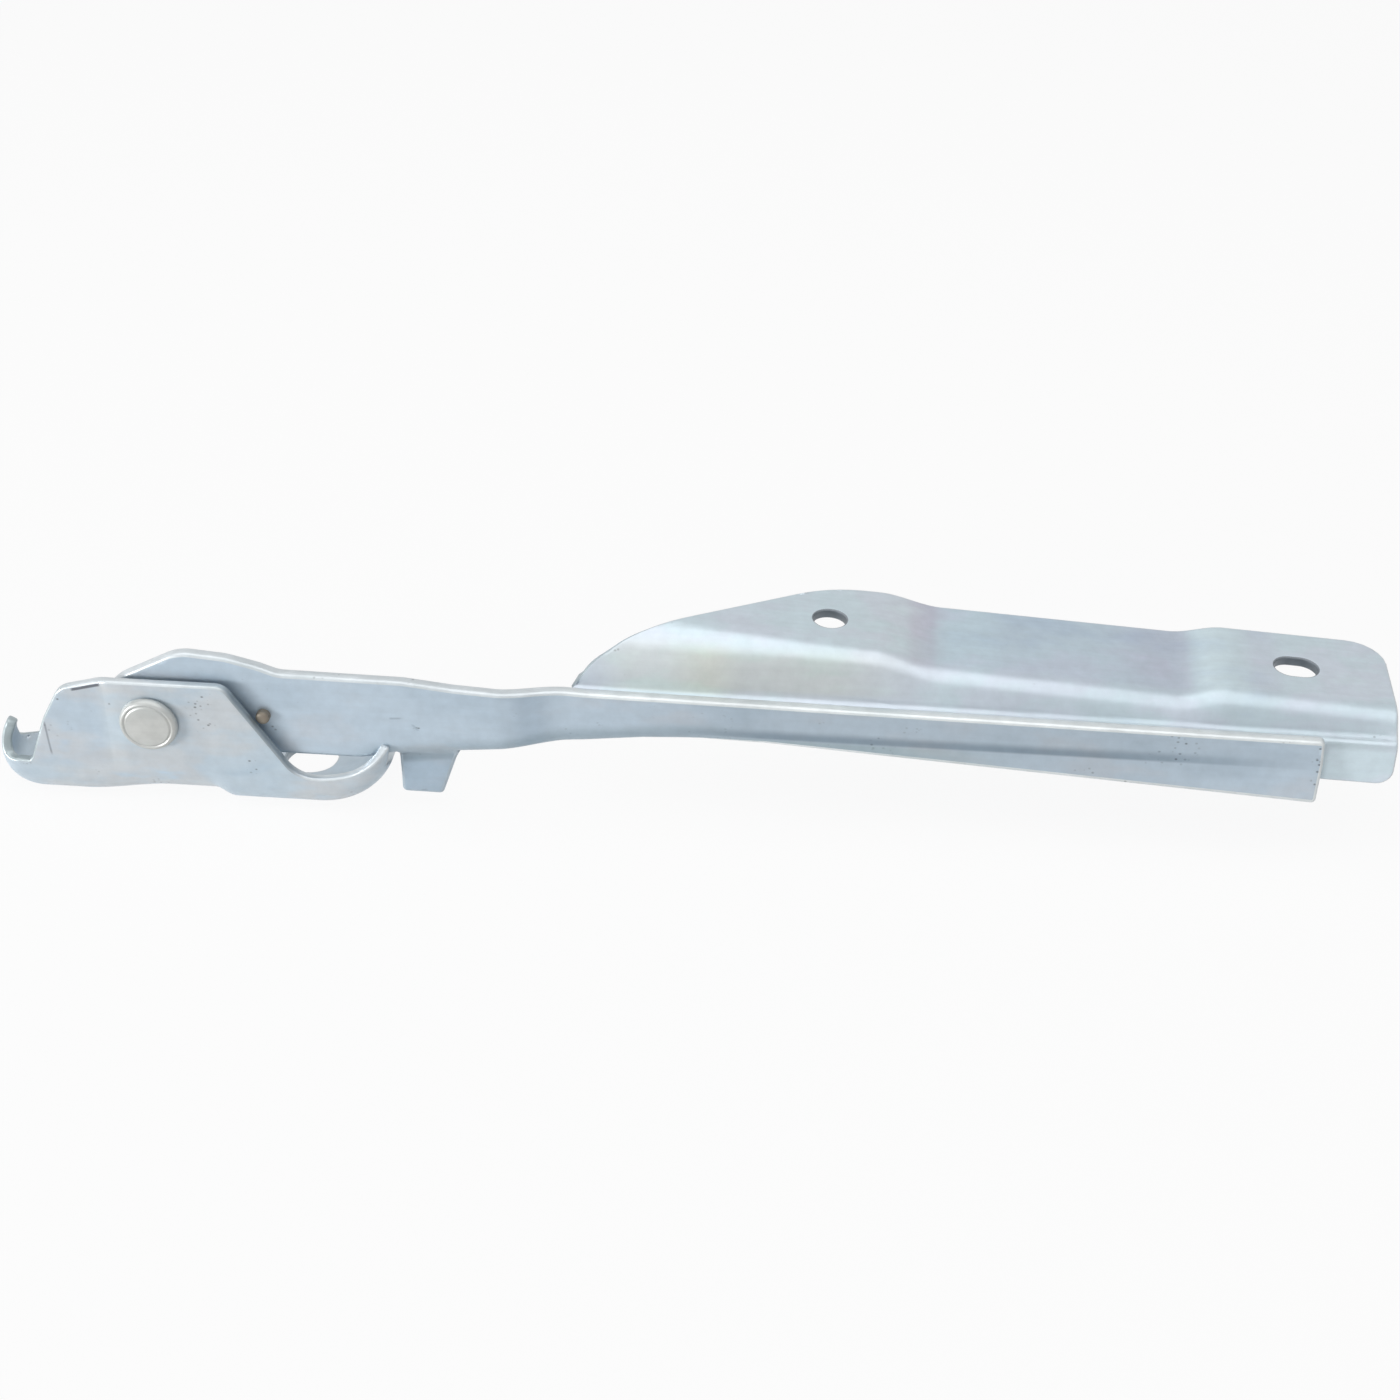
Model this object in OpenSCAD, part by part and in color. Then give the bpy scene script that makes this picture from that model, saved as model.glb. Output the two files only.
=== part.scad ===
// Bonnet hinge: a stamped body bracket, a riveted pivot, a stamped arm and the plate that bolts to the bonnet.
// Millimetres. X runs along the closed arm from the pivot, Y runs from the outer face to the rear, Z is up.
// The origin lies below the pivot, on the bolt line of the base and on the underside of the base.

/* [Body bracket] */
// Sheet thickness of the bracket
bracket_t = 3; // [2.6:0.1:3.4]
// Bolt line to the outer face of the wall
wall_reach = 24; // [22:0.5:26]
// Bolt line to the rear edge of the base
base_rear = 16; // [14:0.5:20]
// Pivot to the left end of the flat base
base_left = 36; // [34:0.5:40]
// Pivot to the right end of the flat base
base_right = 49; // [47:0.5:54]
// Outer radius of the bend between base and wall
bend_r = 8; // [6.5:0.25:8.5]
// Outer radius of that bend below the pivot
pivot_bend_r = 14; // [10:0.5:15]
// Pivot to the left end of the wide bend
wide_left = 14; // [10:0.5:18]
// Pivot to the right end of the wide bend
wide_right = 19; // [15:0.5:21]
// Diameter of the two base holes
base_hole_d = 16.4; // [12:0.2:17]
// Spacing of the two base holes along the base
base_hole_pitch = 64; // [58:0.5:66]
// Pivot to the right base hole
base_hole_right = 42; // [40:0.5:44]

/* [Bracket wall] */
// Height of the top edge of the wall
wall_top = 43.4; // [42:0.2:46]
// Pivot to the right end of the top edge
crown_right = 23.7; // [22:0.1:26]
// Pivot to the left end of the level top edge
crown_left = 13; // [10:0.5:16]
// Pivot to the left shoulder
shoulder_left = 26.8; // [24:0.2:28]
// Drop of the left shoulder below the top edge
shoulder_drop = 3.8; // [2:0.2:6]
// Height of the foot of the left edge
foot_z = 14.1; // [13.5:0.1:15]
// Slope of the right edge, the closed stop
slope_angle = 57.8; // [56:0.2:60]
// Fillet radius at the foot of the sloped edge
slope_fillet = 10; // [8:0.5:12]
// Height of the wall in front of the nose
nose_wall = 11.8; // [11:0.2:13]

/* [Bracket ends] */
// Outer radius of the left hook
hook_r = 13; // [12:0.25:14.5]
// Angle up to which the corner bend follows the hook
hook_bend_turn = 76; // [70:1:80]
// Outer radius of the tongue that leans inwards above the hook
lean_r = 34; // [28:1:45]
// Angle through which the tongue leans inwards
hook_lean = 16; // [14:0.5:20]
// Height of the front corner of the tongue
hook_top = 22.2; // [20:0.2:23]
// Width of the hook floor behind the outer face
hook_depth = 27; // [24:0.5:30]
// Outer radius of the right nose
nose_r = 24.4; // [23:0.2:26]
// Angle through which the nose turns up
nose_turn = 84; // [78:1:86]
// Radius of the front edge of the nose
nose_edge_r = 28; // [26:0.5:30]
// Width of the nose floor behind the outer face
nose_depth = 32; // [30:0.5:36]
// Free height between the nose floor and the arm
nose_gap = 2; // [1.5:0.25:4]

/* [Pivot] */
// Height of the pivot axis above the underside
pivot_z = 29.7; // [29:0.1:31]
// Diameter of the rivet shank
shank_d = 10; // [8:0.5:11]
// Diameter of the rivet head
head_d = 17.8; // [16:0.2:20]
// Height of the rivet head
head_h = 3.2; // [2.4:0.2:4]
// Diameter of the peened tail
tail_d = 15.6; // [14:0.2:18]
// Height of the peened tail
tail_h = 3; // [2.4:0.2:4]
// Wall of the bush sleeve
bush_wall = 1.5; // [1:0.1:2]
// Thickness of the bush flange
bush_flange_t = 1.4; // [1:0.1:2]
// Diameter of the bush flange
bush_flange_d = 22; // [20:0.5:24]
// Thickness of the washer below the tail
washer_t = 2; // [1.5:0.1:2.5]
// Diameter of the washer below the tail
washer_d = 21; // [20:0.5:23]
// Radial running clearance of the shank in the bush
run_clear = 0.05; // [0.02:0.01:0.1]
// Axial play on each side of the arm
axial_play = 0.1; // [0.05:0.05:0.2]
// Radial clearance of seated pieces
seat_clear = 0.02; // [0.01:0.01:0.05]

/* [Hinge arm] */
// Sheet thickness of the arm
arm_t = 4; // [3.4:0.1:4.4]
// Radius of the arm around the pivot
eye_r = 15.5; // [14.5:0.25:16.5]
// Pivot to the free end of the arm
arm_len = 348.5; // [335:0.5:352]
// Depth of the step in the arm
joggle = 5; // [4:0.25:6]
// Pivot to the start of that step
joggle_start = 104; // [100:1:108]
// Length of that step
joggle_len = 22; // [20:1:26]
// Top edge at the free end, above the pivot
arm_end_top = 8.9; // [8:0.1:9.5]
// Crease along the web, above the pivot
crease_h = 0.3; // [-0.5:0.1:1]
// Pivot to the start of the flared lip
lip_start = 185; // [180:1:195]
// Lower edge of the lip at the free end, below the pivot
lip_drop = 11.6; // [10:0.2:13]
// Outward flare of the lip at the free end
lip_flare = 4; // [2:0.25:5]
// Length of the crash tab below the pivot
tab_drop = 26; // [23:0.25:27]
// Width of the crash tab at its root
tab_w = 17; // [15:0.5:19]
// Set-back of the crash tab behind the outer face of the arm
tab_setback = 2; // [1:0.25:2.5]
// Gap between the nose and the crash tab
tab_gap = 1; // [0.6:0.1:2]
// Diameter of the stop pin
pin_d = 4.3; // [4:0.1:5]
// Length of the stop pin in front of the arm
pin_proud = 2.6; // [2:0.1:4]
// Clearance between the stop pin and the sloped edge
stop_gap = 0.3; // [0.2:0.05:0.5]

/* [Bonnet plate] */
// Sheet thickness of the bonnet plate
plate_t = 3; // [2.6:0.1:3.2]
// Pivot to the left end of the bonnet plate
plate_start = 126; // [124:0.5:128]
// Pivot to the right end of the bonnet plate
plate_end = 369; // [364:0.5:372]
// Outer face of the plate wall to the flange bend
flange_step = 8; // [7.5:0.25:10]
// Flange bend to the rear edge of the flange
flange_w = 37; // [34:0.5:40]
// Flange at its left end, above the pivot
flange_h = 28.6; // [27.5:0.1:30]
// Slope of the flange, falling towards the free end
flange_tilt = 3.55; // [3.2:0.05:3.7]
// Rise of the two bolt pads above the flange between them
pad_rise = 3.2; // [2:0.1:3.4]
// Depth of the ledge below the riser
ledge_w = 3; // [2.6:0.1:3.4]
// Length of the ramp at the left end of the riser
ramp_len = 21; // [18:0.5:24]
// Length of the slanted left end of the flange, measured from the ramp
flange_slant = 60; // [55:1:64]
// Width of the flange at the top of the ramp
flange_tip_w = 5; // [4.5:0.25:7]
// Corner radius of the flange at its free end
flange_corner_r = 10; // [6:0.5:14]
// Diameter of the round bonnet hole and width of the slot
bonnet_hole_d = 10; // [8:0.2:11]
// Round bonnet hole to the right end of its pad
pad_reach = 11; // [9:0.5:14]
// Length of the slope from that pad down to the flange between the pads
pad_fall = 20; // [16:1:24]
// Slot to the left end of its pad
slot_pad_reach = 24; // [20:0.5:28]
// Length of the slope from the flange up to that pad
pad_climb = 9; // [7:0.5:12]
// Length of the bonnet slot
slot_len = 13; // [12:0.2:16]
// Pivot to the round bonnet hole
bonnet_hole_x = 202; // [198:0.5:204]
// Round bonnet hole to the slot
bonnet_pitch = 140; // [134:0.5:142]
// Diameter of the plug welds
plug_d = 5; // [4:0.25:5.5]
// Height of the plug welds above the pivot
plug_h = 2.9; // [2.6:0.1:3.2]

/* [Hidden] */
$fn = 64;
zinc = [0.74, 0.78, 0.82];
bright_zinc = [0.79, 0.83, 0.86];
worn_steel = [0.66, 0.64, 0.60];
bush_bronze = [0.55, 0.45, 0.30];
pin_brass = [0.62, 0.53, 0.42];
weld_grey = [0.45, 0.45, 0.46];
// Room left around a cutting shape so that it clears the stock
over = 1;
// Extent of a cutting shape that only has to reach past the part
far = 90;
// Height of the weld bead behind the plate
plug_proud = 0.6;
// Radius of the disc that fills the wall at the centre of the hook
core_r = 2;
// Width of the wall between the hook centre and the left edge
left_fill = 3.3;

// Depth of the lower edge of the arm below the pivot
arm_belly = 12.2;
// Left end of the straight top edge of the web, as place and height above the pivot
web_top = [130, 11.9];
// Ledge of the bonnet plate below the top edge of the arm
ledge_sink = 2;
// Drop of the lower edge of the plate wall over its length
wall_taper = 7;

// Planes across the hinge, from the outer face to the rear
wall_y = -wall_reach;
wall_back = wall_y + bracket_t;
bush_front = wall_back + axial_play;
arm_y = bush_front + bush_flange_t;
arm_back = arm_y + arm_t;
washer_front = arm_back + axial_play;
tail_front = washer_front + washer_t;
web_y = arm_y + joggle;
web_back = web_y + arm_t;
plate_back = web_back + plate_t;

// Sloped edge of the wall, and the pin that meets it
slope_dir = [cos(slope_angle), -sin(slope_angle)];
slope_out = [sin(slope_angle), cos(slope_angle)];
slope_top = [crown_right, wall_top];
pin_level = pivot_z + 0.5;
pin_seat = slope_top + slope_dir * (wall_top - pin_level) / sin(slope_angle);
pin_at = pin_seat + slope_out * (pin_d / 2 + stop_gap);

// Fillet at the foot of the sloped edge, above the lowest point of the nose edge
fillet_z = nose_wall + slope_fillet;
fillet_x = crown_right + (slope_fillet - (fillet_z - wall_top) * cos(slope_angle)) / sin(slope_angle);
nose_tip_x = base_right + (nose_r - bracket_t) * sin(nose_turn);
nose_edge_turn = asin((nose_tip_x - fillet_x) / nose_edge_r);

// Centre of the hook, and the corner of the wall where its bend ends
hook_at = [-base_left, hook_r];
notch_at = hook_at - (hook_r - bend_r) * [sin(hook_bend_turn), cos(hook_bend_turn)];

function unit(v) = v / norm(v);
function swing(a) = (a + 540) % 360 - 180;
function heading(v) = atan2(v[1], v[0]);
function smooth(s) = let (c = min(max(s, 0), 1)) c * c * (3 - 2 * c);

// Arc of radius r that replaces the corner b between a and c
function fillet(a, b, c, r, n = 6) =
    let (u = unit(a - b), v = unit(c - b), half = acos(u * v) / 2)
    let (m = b + unit(u + v) * r / sin(half), s = b + u * r / tan(half), e = b + v * r / tan(half))
    let (from = heading(s - m), turn = swing(heading(e - m) - from))
    [for (i = [0:n]) m + r * [cos(from + turn * i / n), sin(from + turn * i / n)]];

// Outline with arcs at its corners; each point is [across, up, corner radius]
function rounded(p) =
    let (n = len(p), q = [for (k = p) [k[0], k[1]]])
    [for (i = [0:n - 1])
        each p[i][2] == 0 ? [q[i]] : fillet(q[(i + n - 1) % n], q[i], q[(i + 1) % n], p[i][2])];

// Points of an arc around m
function arc(m, r, from, to, n = 12) =
    [for (i = [0:n]) let (a = from + (to - from) * i / n) m + r * [cos(a), sin(a)]];

// Solid of an outline in X and Z, between two planes across the hinge
module between(y0, y1) {
    translate([0, y1, 0])
        rotate([90, 0, 0])
            linear_extrude(y1 - y0) children();
}

// Solid of an outline in Y and Z, between two planes along the hinge
module along(x0, x1) {
    translate([x0, 0, 0])
        rotate([90, 0, 90])
            linear_extrude(x1 - x0) children();
}

// Drill along Y through the planes y0 and y1 at [x, z]
module cross_drill(at, d, y0, y1) {
    translate([at[0], y1, at[1]])
        rotate([90, 0, 0])
            cylinder(d = d, h = y1 - y0);
}

// Quarter ring of a sheet bend
module quarter_bend(r) {
    intersection() {
        difference() {
            circle(r);
            circle(r - bracket_t);
        }
        square(r);
    }
}

// Section of base, bend and wall, in Y and Z
module base_section(r) {
    translate([wall_y + r, 0])
        square([wall_reach - r + base_rear, bracket_t]);
    translate([wall_y + r, r])
        rotate(180) quarter_bend(r);
    translate([wall_y, r])
        square([bracket_t, wall_top + over - r]);
}

// Section of an upturned end: radius across, distance in front of the bolt line up
module strip_section(r, depth) {
    translate([r - bracket_t, wall_reach - depth])
        square([bracket_t, depth - bend_r]);
}

// The same with the corner bend and the wall in front of it
module corner_section(r, depth) {
    strip_section(r, depth);
    translate([r - bend_r, wall_reach - bend_r])
        quarter_bend(bend_r);
    translate([core_r / 2, wall_reach - bracket_t])
        square([r - bend_r - core_r / 2, bracket_t]);
}

// Region of the front view that is cut away above the wall and the nose
module above_wall() {
    notch_z = notch_at[1] + 0.8;
    foot = [-base_left - 2.8, foot_z];
    waist = foot + [5.2, 13.4];
    shoulder = [-shoulder_left, wall_top - shoulder_drop];
    slope_end = slope_top + slope_dir * 20;
    left = [[-far, far], [-far, notch_z], [notch_at[0] + 0.9, notch_z], foot, waist];
    crown = rounded([[waist[0], waist[1], 0], [shoulder[0], shoulder[1], 3], [-crown_left, wall_top, 8],
        [slope_top[0], slope_top[1], 3], [slope_end[0], slope_end[1], 0]]);
    toe = arc([fillet_x, fillet_z], slope_fillet, 270 - slope_angle, 270, 6);
    nose = arc([fillet_x, nose_wall + nose_edge_r], nose_edge_r, 270, 270 + nose_edge_turn, 10);
    polygon(concat(left, [for (i = [1:len(crown) - 2]) crown[i]], toe, [for (i = [1:10]) nose[i]],
        [[nose_tip_x, far]]));
}

// Turned end: the section starts below the centre and turns up to the right
module upturn(turn) {
    rotate([90, 0, 0])
        rotate(-90)
            rotate_extrude(angle = turn) children();
}

// Strip that turns up to the left and leans inwards, with the corner bend along its first part
module hook_blank() {
    translate([hook_at[0], 0, hook_at[1]])
        mirror([1, 0, 0]) {
            upturn(hook_bend_turn) corner_section(hook_r, hook_depth);
            upturn(90) strip_section(hook_r, hook_depth);
            translate([hook_r - lean_r, 0, 0])
                rotate([90, 0, 0])
                    rotate_extrude(angle = hook_lean) strip_section(lean_r, hook_depth);
        }
}

module nose_blank() {
    translate([base_right, 0, nose_r])
        upturn(nose_turn) corner_section(nose_r, nose_depth);
}

module bracket_blank() {
    along(-base_left, -wide_left) base_section(bend_r);
    along(-wide_left, wide_right) base_section(pivot_bend_r);
    along(wide_right, base_right) base_section(bend_r);
    between(wall_y, wall_back) {
        translate([-base_left - left_fill, hook_r - core_r])
            square([left_fill, wall_top - hook_r]);
        translate(hook_at) circle(core_r);
    }
    hook_blank();
    nose_blank();
}

module body_bracket() {
    hook_rear = wall_y + hook_depth;
    hook_front = wall_y + bend_r;
    cut_depth = bend_r - 0.4;
    nose_step = wall_back + axial_play + bush_flange_t / 2;
    nose_level = pivot_z - arm_belly - nose_gap;
    color(zinc)
        difference() {
            bracket_blank();
            between(wall_y - over, wall_y + cut_depth) above_wall();
            cross_drill([0, pivot_z], shank_d + 2 * seat_clear, wall_y - over, wall_back + over);
            for (x = [base_hole_right, base_hole_right - base_hole_pitch])
                translate([x, 0, -over]) cylinder(d = base_hole_d, h = bracket_t + 2 * over);
            along(-far, -base_left - 1)
                polygon([[wall_y - over, far], [wall_y - over, hook_top + 1], [hook_front, hook_top],
                    [hook_front + 5, hook_top - 2.7], [hook_rear, hook_r / 2], [hook_rear + over, far]]);
            along(base_right + 6, far)
                polygon([[nose_step, far], [nose_step, nose_level], [0, nose_level], [far, 2], [far, far]]);
            translate([0, 0, -over])
                linear_extrude(bracket_t + 2 * over)
                    polygon([[-base_left - over, hook_rear], [-base_left + 9, base_rear + over],
                        [-base_left - over, base_rear + over]]);
            translate([0, 0, -over])
                linear_extrude(bracket_t + 2 * over)
                    polygon([[base_right + over, wall_y + nose_depth], [base_right - 8, base_rear + over],
                        [base_right + over, base_rear + over]]);
        }
}

// Rivet in one turned profile: head, shank and peened tail
module pivot_rivet() {
    grip = tail_front - wall_y;
    color(worn_steel)
        translate([0, wall_y, pivot_z])
            rotate([90, 0, 0])
                rotate_extrude()
                    polygon(concat([[0, head_h - 0.3], [head_d * 0.2, head_h - 0.3], [head_d * 0.24, head_h]],
                        [[head_d * 0.36, head_h], [head_d * 0.4, head_h - 0.4], [head_d / 2, head_h * 0.42],
                        [head_d / 2, 0], [shank_d / 2, 0], [shank_d / 2, -grip], [tail_d / 2, -grip],
                        [tail_d / 2, -grip - tail_h * 0.5], [tail_d * 0.4, -grip - tail_h],
                        [0, -grip - tail_h]]));
}

module tail_washer() {
    color(zinc)
        difference() {
            cross_drill([0, pivot_z], washer_d, washer_front, tail_front);
            cross_drill([0, pivot_z], shank_d + 2 * seat_clear, washer_front - over, tail_front + over);
        }
}

// Flanged bush: it turns with the arm and runs on the shank
module pivot_bush() {
    bore_d = shank_d + 2 * run_clear;
    color(bush_bronze)
        difference() {
            union() {
                cross_drill([0, pivot_z], bush_flange_d, bush_front, arm_y);
                cross_drill([0, pivot_z], bore_d + 2 * bush_wall, arm_y, arm_back);
            }
            cross_drill([0, pivot_z], bore_d, bush_front - over, arm_back + over);
        }
}

module stop_pin() {
    color(pin_brass)
        cross_drill(pin_at, pin_d, arm_y - pin_proud, arm_back);
}

// Front view of the arm without the flared lip, with heights above the pivot
function arm_outline() = let (tilt = 27.4)
    rounded([[-eye_r * sin(tilt), eye_r * cos(tilt), 0], [10.5, eye_r / cos(tilt) + 10.5 * tan(tilt), 8],
        [25, 22.6, 8], [34.5, 20.2, 4], [39.5, 16.4, 4], [77, 15.9, 0], [92, 14.2, 20],
        [web_top[0], web_top[1], 0],
        [arm_len, arm_end_top, 0], [arm_len, crease_h, 0], [lip_start, crease_h, 0], [lip_start, -2.4, 0],
        [164, -1.8, 12], [135, -4.2, 0], [104, -6.6, 0], [84, -8.6, 30], [62, -arm_belly, 12],
        [36, -arm_belly, 0], [4, -eye_r + 0.6, 0]]);

// Plan view of the arm: straight, stepped towards the rear, straight
function arm_face(x) = arm_y + joggle * smooth((x - joggle_start) / joggle_len);
module arm_plan() {
    steps = [-eye_r - over, for (i = [0:8]) joggle_start + joggle_len * i / 8, arm_len + over];
    polygon(concat([for (x = steps) [x, arm_face(x)]],
        [for (i = [len(steps) - 1:-1:0]) [steps[i], arm_face(steps[i]) + arm_t]]));
}

// Lower lip of the arm: it starts level with the web and flares outwards towards the free end
module arm_lip() {
    ends = [[lip_start, -2.4, 0], [arm_len, -lip_drop, lip_flare]];
    ring = [for (e = ends)
        each [[e[0], web_y, crease_h], [e[0], web_back, crease_h], [e[0], web_back - e[2], e[1]],
            [e[0], web_y - e[2], e[1]]]];
    polyhedron(ring, concat([[3, 2, 1, 0], [4, 5, 6, 7]],
        [for (i = [0:3]) each [[i, (i + 1) % 4, (i + 1) % 4 + 4], [i, (i + 1) % 4 + 4, i + 4]]]));
}

module crash_tab() {
    left = base_right + nose_r + tab_gap;
    root = pivot_z - 6;
    between(arm_y + tab_setback, arm_back + tab_setback)
        polygon(rounded([[left, root, 0], [left + tab_w, root, 0], [left + tab_w, root - 5, 0],
            [left + tab_w * 0.68, pivot_z - tab_drop, 2], [left + 0.8, pivot_z - tab_drop, 1],
            [left, root - 5, 0]]));
}

module hinge_arm() {
    bush_d = shank_d + 2 * run_clear + 2 * bush_wall;
    color(zinc)
        difference() {
            union() {
                translate([0, 0, pivot_z])
                    intersection() {
                        between(arm_y - over, web_back + over) {
                            circle(eye_r);
                            polygon(arm_outline());
                        }
                        translate([0, 0, -far]) linear_extrude(2 * far) arm_plan();
                    }
                translate([0, 0, pivot_z]) arm_lip();
                crash_tab();
            }
            cross_drill([0, pivot_z], bush_d + 2 * seat_clear, arm_y - over, arm_back + over);
            cross_drill(pin_at, pin_d + 2 * seat_clear, arm_y - over, arm_back + over);
        }
}

// Heights along the bonnet plate: lower edge of its wall, ledge behind the top of the arm, flange
pad_left = bonnet_hole_x + pad_reach;
pad_right = bonnet_hole_x + bonnet_pitch - slot_pad_reach;
flange_back = web_back + flange_step + flange_w;
hole_y = web_back + flange_step + flange_w / 2;
function arm_top(x) = web_top[1] + (arm_end_top - web_top[1]) * (x - web_top[0]) / (arm_len - web_top[0]);
function wall_low(x) = crease_h - wall_taper * (x - plate_start) / (plate_end - plate_start);
function ledge_z(x) = arm_top(x) - ledge_sink;
function pad_z(x) = flange_h - (x - plate_start) * tan(flange_tilt);
function valley(x) = smooth((x - pad_left) / pad_fall) - smooth((x - pad_right) / pad_climb + 1);
function ramp(x) = sin(90 * min((x - plate_start) / ramp_len, 1));
function flange_z(x) = let (low = arm_top(x)) low + (pad_z(x) - low) * ramp(x) - pad_rise * valley(x);
function slant(x) = min(max((x - plate_start - ramp_len) / flange_slant, 0), 1);
function flange_share(s) = s < 0.15 ? 0 : s < 0.8 ? (s - 0.15) / 0.725 : 1 - (1 - s) * (1 - s) * 2.59;
function flange_reach(x) = flange_tip_w + (flange_w - flange_tip_w) * flange_share(slant(x));
function flange_r(x) = plate_t * (0.4 + 1.6 * ramp(x));

// Corner b of a path, moved to the right of its direction by t
function shifted(a, b, c, t) = let (u = unit(b - a), v = unit(c - b), m = [u[1], -u[0]], n = [v[1], -v[0]])
    b + t * (m + n) / (1 + m * n);

// Section of the plate at x, in Y and in height above the pivot
function plate_section(x) =
    let (low = [web_back, wall_low(x)], top = [web_back, ledge_z(x)], step = top + [ledge_w, 0.5])
    let (bend = [web_back + flange_step, flange_z(x)], rear = bend + [flange_reach(x), 0], r = flange_r(x))
    let (rear_in = rear - [0, plate_t], bend_in = shifted(step, bend, rear, plate_t))
    let (inner = fillet(shifted(top, step, bend, plate_t), bend_in, rear_in, max(r - plate_t, 0.3), 4))
    concat([low, top, step], fillet(step, bend, rear, r, 4), [rear, rear_in], [for (i = [4:-1:0]) inner[i]],
        [shifted(top, step, bend, plate_t), shifted(low, top, step, plate_t), low + [plate_t, 0]]);

// Places along X where the section changes: ramp, slanted end, the two pad steps
function plate_places() = let (tip = plate_start + ramp_len)
    concat([for (s = [0, 0.2, 0.45, 0.7]) plate_start + s * ramp_len],
        [for (s = [0, 0.15, 0.8, 0.9, 1]) tip + s * flange_slant],
        [for (s = [0.1, 0.4, 0.7, 1]) pad_left + pad_fall * s],
        [for (s = [0:3]) pad_right + pad_climb * (s / 3 - 1)], [plate_end]);

module plate_loft() {
    steps = plate_places();
    rings = [for (x = steps) plate_section(x)];
    m = len(rings[0]);
    n = len(steps);
    points = [for (k = [0:n - 1]) each [for (p = rings[k]) [steps[k], p[0], p[1]]]];
    sides = [for (k = [0:n - 2]) each [for (i = [0:m - 1]) let (j = (i + 1) % m, a = k * m)
        each [[a + i, a + i + m, a + j + m], [a + i, a + j + m, a + j]]]];
    polyhedron(points, concat([[for (i = [0:m - 1]) i]], sides, [[for (i = [m - 1:-1:0]) i + (n - 1) * m]]));
}

// Hole or slot through the flange, square to its slope
module flange_slot(x, length) {
    translate([x, hole_y, pivot_z + pad_z(x)])
        rotate([0, flange_tilt, 0]) {
            for (side = [-1, 1])
                translate([side * (length - bonnet_hole_d) / 2, 0, -2 * plate_t])
                    cylinder(d = bonnet_hole_d, h = 4 * plate_t);
            if (length > bonnet_hole_d)
                cube([length - bonnet_hole_d, bonnet_hole_d, 4 * plate_t], center = true);
        }
}

plug_places = [for (s = [0.3, 0.5, 0.7]) [plate_start + s * (plate_end - plate_start), pivot_z + plug_h]];

module hood_plate() {
    corner = [plate_end, flange_back];
    color(bright_zinc)
        difference() {
            translate([0, 0, pivot_z]) plate_loft();
            flange_slot(bonnet_hole_x, bonnet_hole_d);
            flange_slot(bonnet_hole_x + bonnet_pitch, slot_len);
            for (p = plug_places)
                cross_drill(p, plug_d + 2 * seat_clear, web_back - over, plate_back + over);
            linear_extrude(far)
                polygon(concat(arc(corner - flange_corner_r * [1, 1], flange_corner_r, 0, 90),
                    [corner + [-flange_corner_r, over], corner + [over, over],
                    corner + [over, -flange_corner_r]]));
        }
}

// Plug welds that join the plate wall to the rear face of the arm
module weld_plugs() {
    color(weld_grey)
        for (p = plug_places)
            cross_drill(p, plug_d, web_back, plate_back + plug_proud);
}

body_bracket();
pivot_rivet();
tail_washer();
hinge_arm();
pivot_bush();
stop_pin();
hood_plate();
weld_plugs();
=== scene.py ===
"""Bonnet hinge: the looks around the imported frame.

Lengths are millimetres until a mesh is made. Places in materials, lamps and the camera are in metres.
"""
import math

import bpy
import numpy as np
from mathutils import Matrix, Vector
from mathutils.geometry import delaunay_2d_cdt


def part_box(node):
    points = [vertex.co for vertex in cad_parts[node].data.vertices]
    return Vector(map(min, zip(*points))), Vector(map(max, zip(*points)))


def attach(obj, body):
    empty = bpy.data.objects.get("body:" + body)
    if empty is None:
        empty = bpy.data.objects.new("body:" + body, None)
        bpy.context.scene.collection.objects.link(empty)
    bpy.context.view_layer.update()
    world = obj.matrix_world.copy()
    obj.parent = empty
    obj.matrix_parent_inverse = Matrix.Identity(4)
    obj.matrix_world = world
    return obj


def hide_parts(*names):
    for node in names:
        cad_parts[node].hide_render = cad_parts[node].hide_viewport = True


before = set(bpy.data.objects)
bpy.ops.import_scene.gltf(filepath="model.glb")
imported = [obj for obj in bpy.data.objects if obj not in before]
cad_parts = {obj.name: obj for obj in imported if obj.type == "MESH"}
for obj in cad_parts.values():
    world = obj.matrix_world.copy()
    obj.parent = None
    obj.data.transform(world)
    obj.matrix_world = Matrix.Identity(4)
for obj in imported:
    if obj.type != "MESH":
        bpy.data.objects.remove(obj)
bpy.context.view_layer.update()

MM = 0.001

# Limits below which a length, a place or a turn counts as none
TINY = 1e-12
SAME_POINT = 1e-6
NO_TURN = 1e-9
MERGE_DIGITS = 4

# Planes and places shared with the solids
PIVOT_Z = 29.7
WALL_Y = -24.0
BRACKET_T = 3.0
BASE_REAR = 16.0
BEND_R = 8.0
WIDE_R = 14.0
HOOK_X = -37.2
HOOK_R = 13.0
HOOK_BEND_R = 7.0
LEAN_R = 20.0
NOSE = (49.0, 24.4)
NOSE_R = 24.4
BASE_HOLES = (42.0, -22.0)
BASE_HOLE_R = 8.2
ARM_Y = -19.5
ARM_T = 4.0
EYE_R = 15.5
ARM_LEN = 348.5
WEB_BACK = -10.5
PLATE_T = 3.0
PLATE_START = 126.0
PLATE_END = 369.0
FLANGE_Y = -2.5
FLANGE_W = 37.0
BONNET_HOLES = (202.0, 342.0)
BONNET_HOLE_R = 5.0
SLOT_HALF = 1.5

# Spacing of mesh points: first row inside each rim, and the least room between rim and other points
RIM_ROW = 0.8
RIM_ROOM = 0.55


def smooth(s):
    """Eased step from 0 to 1."""
    c = np.clip(s, 0.0, 1.0)
    return c * c * (3 - 2 * c)


def unit(v):
    return v / max(float(np.linalg.norm(v)), TINY)


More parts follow.
